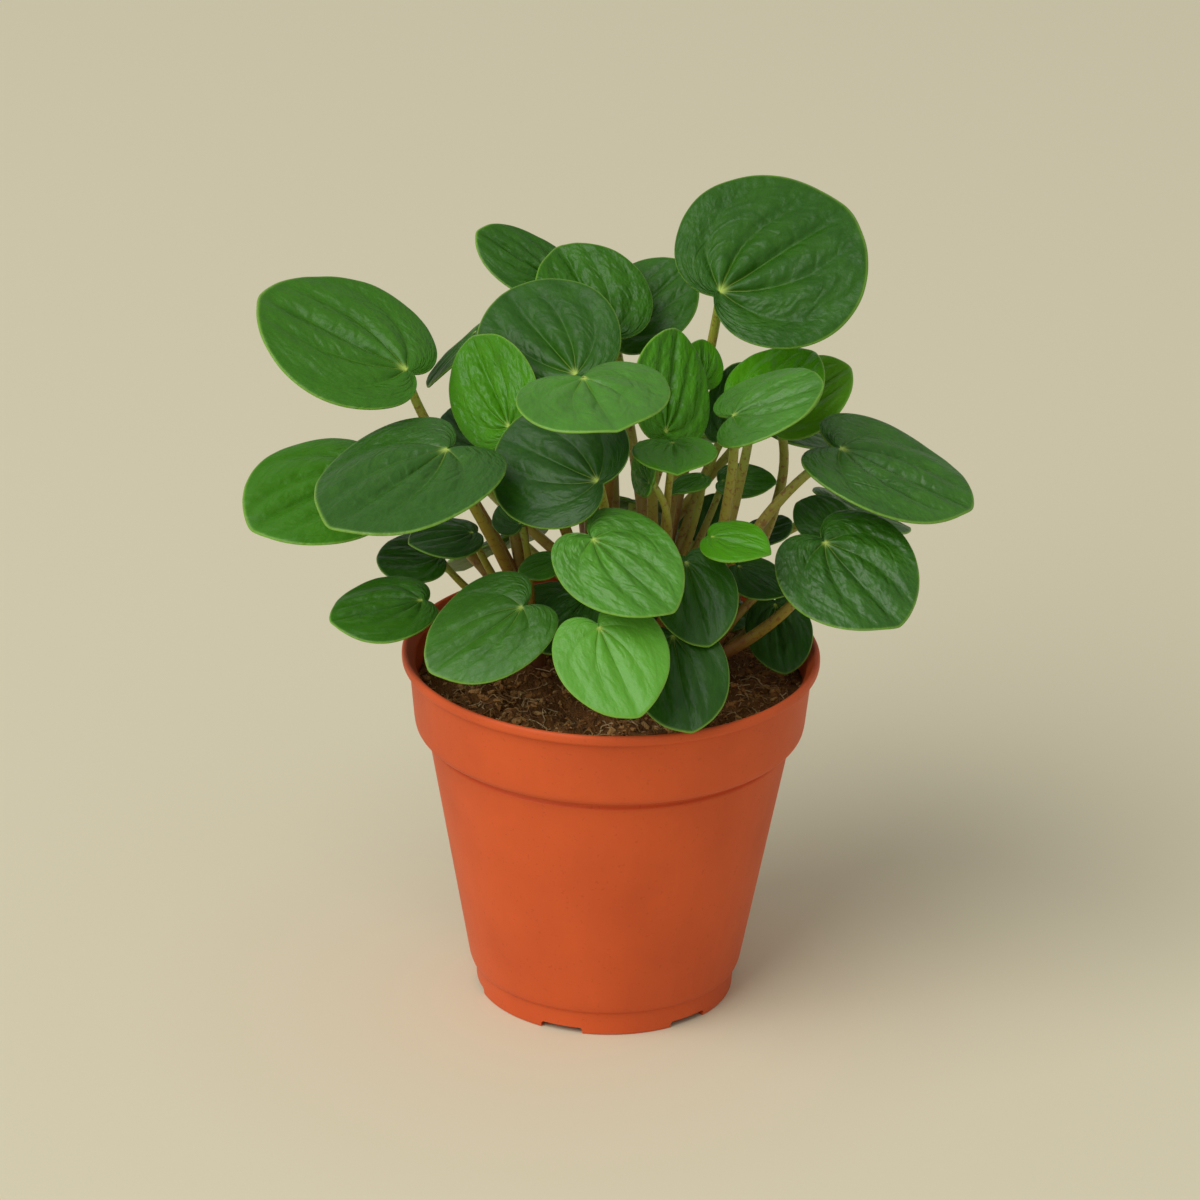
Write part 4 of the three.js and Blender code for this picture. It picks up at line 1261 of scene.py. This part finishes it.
# %% Scatter crumbs and fibres
CRUMBS_A_SQUARE_METRE, FIBRES_A_SQUARE_METRE = 380000.0, 150000.0
SMALLEST_CRUMB, LARGEST_CRUMB = 0.22, 1.2
# How much longer, narrower and flatter a crumb is than a ball.
CRUMB_SHAPE = (1.7, 0.8, 0.6)
CRUMB_SHAKE, CRUMB_SHAKE_SCALE = 1.6, 900
FIBRE_LENGTH, FIBRE_RADIUS, FIBRE_CURL, FIBRE_CURL_SCALE = 7.5, 0.15, 6.5, 330
SHORTEST_FIBRE = 0.35
FIBRE_POINTS, FIBRE_SIDES = 9, 4
# The most that each may lean from the level, in radians.
CRUMB_TILT, FIBRE_TILT = 0.5, 0.3
# Random draws of different things are kept apart by different seeds.
CRUMB_SEED, FIBRE_SEED = 3, 8
TURN_SEED, SIZE_SEED, SHADE_SEED = 1, 9, 20


def random_number(tree, lowest, highest, seed):
    """A seeded random number for each point or instance."""
    node = add_node(tree, "FunctionNodeRandomValue", {"Min": lowest, "Max": highest, "Seed": seed})
    return Term(next(output for output in node.outputs if output.enabled))


def scatter(tree, ground_mesh, density, seed, thing, rotation, size):
    """Instances of a thing on the ground, each with a stored random shade."""
    points = add_node(tree, "GeometryNodeDistributePointsOnFaces", {
        "Mesh": ground_mesh, "Density": density, "Seed": seed,
    })
    placed = add_node(tree, "GeometryNodeInstanceOnPoints", {
        "Points": points.outputs["Points"], "Instance": thing, "Rotation": rotation, "Scale": size,
    })
    shade = random_number(tree, 0.0, 1.0, seed + SHADE_SEED)
    return add_node(tree, "GeometryNodeStoreNamedAttribute", {
        "Geometry": placed.outputs[0], "Name": "shade", "Value": shade,
    }, data_type="FLOAT", domain="INSTANCE").outputs[0]


def any_turn(tree, seed, tilt):
    """A random rotation: any way round, and up to a tilt from the level."""
    tilted = [random_number(tree, -tilt, tilt, seed), random_number(tree, -tilt, tilt, seed + 1)]
    return join(tree, *tilted, random_number(tree, 0.0, 2 * math.pi, seed + 2))


def shaken(tree, mesh, scale, amount):
    """The mesh with every point moved a little by noise at its place."""
    place = add_node(tree, "GeometryNodeInputPosition").outputs[0]
    shake = add_node(tree, "ShaderNodeTexNoise", {"Vector": place, "Scale": scale, "Detail": 1.0})
    middle = add_node(tree, "ShaderNodeVectorMath", {0: shake.outputs["Color"], 1: (0.5, 0.5, 0.5)},
                      operation="SUBTRACT")
    offset = add_node(tree, "ShaderNodeVectorMath", {0: middle.outputs[0], 1: (amount,) * 3},
                      operation="MULTIPLY")
    moved = add_node(tree, "GeometryNodeSetPosition", {"Geometry": mesh, "Offset": offset.outputs[0]})
    return moved.outputs[0]


def build_crumb_tree():
    """The tree that scatters drawn-out crumbs, most of them small."""
    inputs = {"Ground": "mesh", "Density": "number", "Smallest": "number", "Largest": "number",
              "Finish": "finish"}
    tree, start, end = start_tree("Peat crumbs", "GeometryNodeTree", inputs, {"Crumbs": "mesh"})
    crumb = add_node(tree, "GeometryNodeMeshIcoSphere", {"Radius": 1.0, "Subdivisions": 1})
    low, high = Term(start.outputs["Smallest"]), Term(start.outputs["Largest"])
    spread = random_number(tree, 0.0, 1.0, CRUMB_SEED + SIZE_SEED)
    size = low + (high - low) * spread * spread * spread
    shape = join(tree, *(size * stretch for stretch in CRUMB_SHAPE))
    crumbs = scatter(tree, start.outputs["Ground"], start.outputs["Density"], CRUMB_SEED,
                     crumb.outputs["Mesh"], any_turn(tree, CRUMB_SEED + TURN_SEED, CRUMB_TILT), shape)
    real = add_node(tree, "GeometryNodeRealizeInstances", {"Geometry": crumbs})
    end_tree(tree, start, end, shaken(tree, real.outputs[0], CRUMB_SHAKE_SCALE, CRUMB_SHAKE * MM))
    return tree


def build_fibre_tree():
    """The tree that scatters thin curled fibres."""
    inputs = {"Ground": "mesh", "Density": "number", "Length": "number", "Radius": "number",
              "Finish": "finish"}
    tree, start, end = start_tree("Peat fibres", "GeometryNodeTree", inputs, {"Fibres": "mesh"})
    half = Term(start.outputs["Length"]) / 2
    line = add_node(tree, "GeometryNodeCurvePrimitiveLine", {
        "Start": join(tree, half * -1, 0.0, 0.0), "End": join(tree, half, 0.0, 0.0),
    })
    steps = add_node(tree, "GeometryNodeResampleCurve", {"Curve": line.outputs[0], "Count": FIBRE_POINTS})
    size = random_number(tree, SHORTEST_FIBRE, 1.0, FIBRE_SEED + SIZE_SEED)
    turn = any_turn(tree, FIBRE_SEED + TURN_SEED, FIBRE_TILT)
    fibres = scatter(tree, start.outputs["Ground"], start.outputs["Density"], FIBRE_SEED,
                     steps.outputs[0], turn, join(tree, size, size, size))
    real = add_node(tree, "GeometryNodeRealizeInstances", {"Geometry": fibres})
    curled = shaken(tree, real.outputs[0], FIBRE_CURL_SCALE, FIBRE_CURL * MM)
    ring = add_node(tree, "GeometryNodeCurvePrimitiveCircle", {
        "Resolution": FIBRE_SIDES, "Radius": start.outputs["Radius"],
    })
    tube = add_node(tree, "GeometryNodeCurveToMesh", {
        "Curve": curled, "Profile Curve": ring.outputs[0], "Fill Caps": True,
    })
    end_tree(tree, start, end, smoothed(tree, tube.outputs[0]))
    return tree


crumb_tree, fibre_tree = build_crumb_tree(), build_fibre_tree()
print("scatter trees:", crumb_tree.name, "and", fibre_tree.name)

# %% [markdown]
# ## The finish of peat
#
# Bed, crumbs and fibres share a brown that runs from nearly black, where it is damp, to a dry reddish
# brown, with fibres and a few grains that are much paler. Every stop above the darkest is lighter than
# the peat itself, a painted light that lifts the shade inside the pot. A crumb's stored shade picks its
# own place in that range, so that neighbours differ. The bed has no such attribute and reads noise alone.

# %% Mix the peat and lay the soil
# Painted light: every stop above the darkest is lighter than peat is, to lift the shade inside the pot.
# The fibres' stops are lifted the same way.
PEAT_COLOURS_WITH_PAINTED_LIGHT = ((0.0, (0.04, 0.018, 0.005)), (0.3, (0.19, 0.082, 0.022)), (0.6, (0.42, 0.19, 0.055)),
                (0.9, (0.58, 0.36, 0.14)), (1.0, (0.74, 0.62, 0.38)))
FIBRE_COLOURS_WITH_PAINTED_LIGHT = ((0.0, (0.12, 0.05, 0.015)), (0.6, (0.40, 0.22, 0.075)), (1.0, (0.76, 0.60, 0.34)))
# The share of the colour that damp patches decide. The stored shade decides the rest.
PEAT_PATCHES, FIBRE_PATCHES = 0.45, 0.3
PEAT_ROUGHNESS, PEAT_SHINE, PEAT_DRYNESS = 0.93, 0.25, 0.04
DAMP_SCALE, DAMP_HEIGHT, GRIT_SCALE, GRIT_HEIGHT = 240, 1.2, 1500, 0.9


def mix_peat(name, colours, patches):
    """A peat finish whose colour follows the stored shade and damp patches."""
    material, tree, surface = new_finish(name, Roughness=PEAT_ROUGHNESS, Specular_IOR_Level=PEAT_SHINE)
    place = object_place(tree)
    damp = noise_at(tree, place, DAMP_SCALE, 5.0)
    grit = noise_at(tree, place, GRIT_SCALE, 3.0)
    shade = Term(read_attribute(tree, "shade")) * (1 - patches) + damp * patches + PEAT_DRYNESS
    tree.links.new(run_colours(tree, limit(shade), colours), surface.inputs["Base Color"])
    add_bump(tree, surface, grit * GRIT_HEIGHT + damp * DAMP_HEIGHT)
    return material


def hold_inside(mesh, reach):
    """Draw back what reaches past the pot's wall."""
    for vertex in mesh.vertices:
        out = math.hypot(vertex.co.x, vertex.co.y)
        if out > reach:
            vertex.co.x *= reach / out
            vertex.co.y *= reach / out


def lay_soil():
    """Bed, crumbs and fibres as one piece, held inside the pot."""
    peat = mix_peat("damp peat", PEAT_COLOURS_WITH_PAINTED_LIGHT, PEAT_PATCHES)
    strands = mix_peat("peat fibre", FIBRE_COLOURS_WITH_PAINTED_LIGHT, FIBRE_PATCHES)
    soil_body.materials.append(peat)
    crumbs = grow("crumbs", crumb_tree, {
        "Density": CRUMBS_A_SQUARE_METRE, "Smallest": SMALLEST_CRUMB * MM,
        "Largest": LARGEST_CRUMB * MM, "Finish": peat,
    }, ground.copy())
    fibres = grow("fibres", fibre_tree, {
        "Density": FIBRES_A_SQUARE_METRE, "Length": FIBRE_LENGTH * MM,
        "Radius": FIBRE_RADIUS * MM, "Finish": strands,
    }, ground.copy())
    reach = (inner_radius(SOIL_TOP) - CLEARANCE) * MM
    for loose in (crumbs, fibres):
        hold_inside(loose, reach)
    return show("peat", joined("peat", soil_body, crumbs, fibres), "soil", "soil")


soil = lay_soil()
print("the soil has", len(soil.data.polygons), "faces")
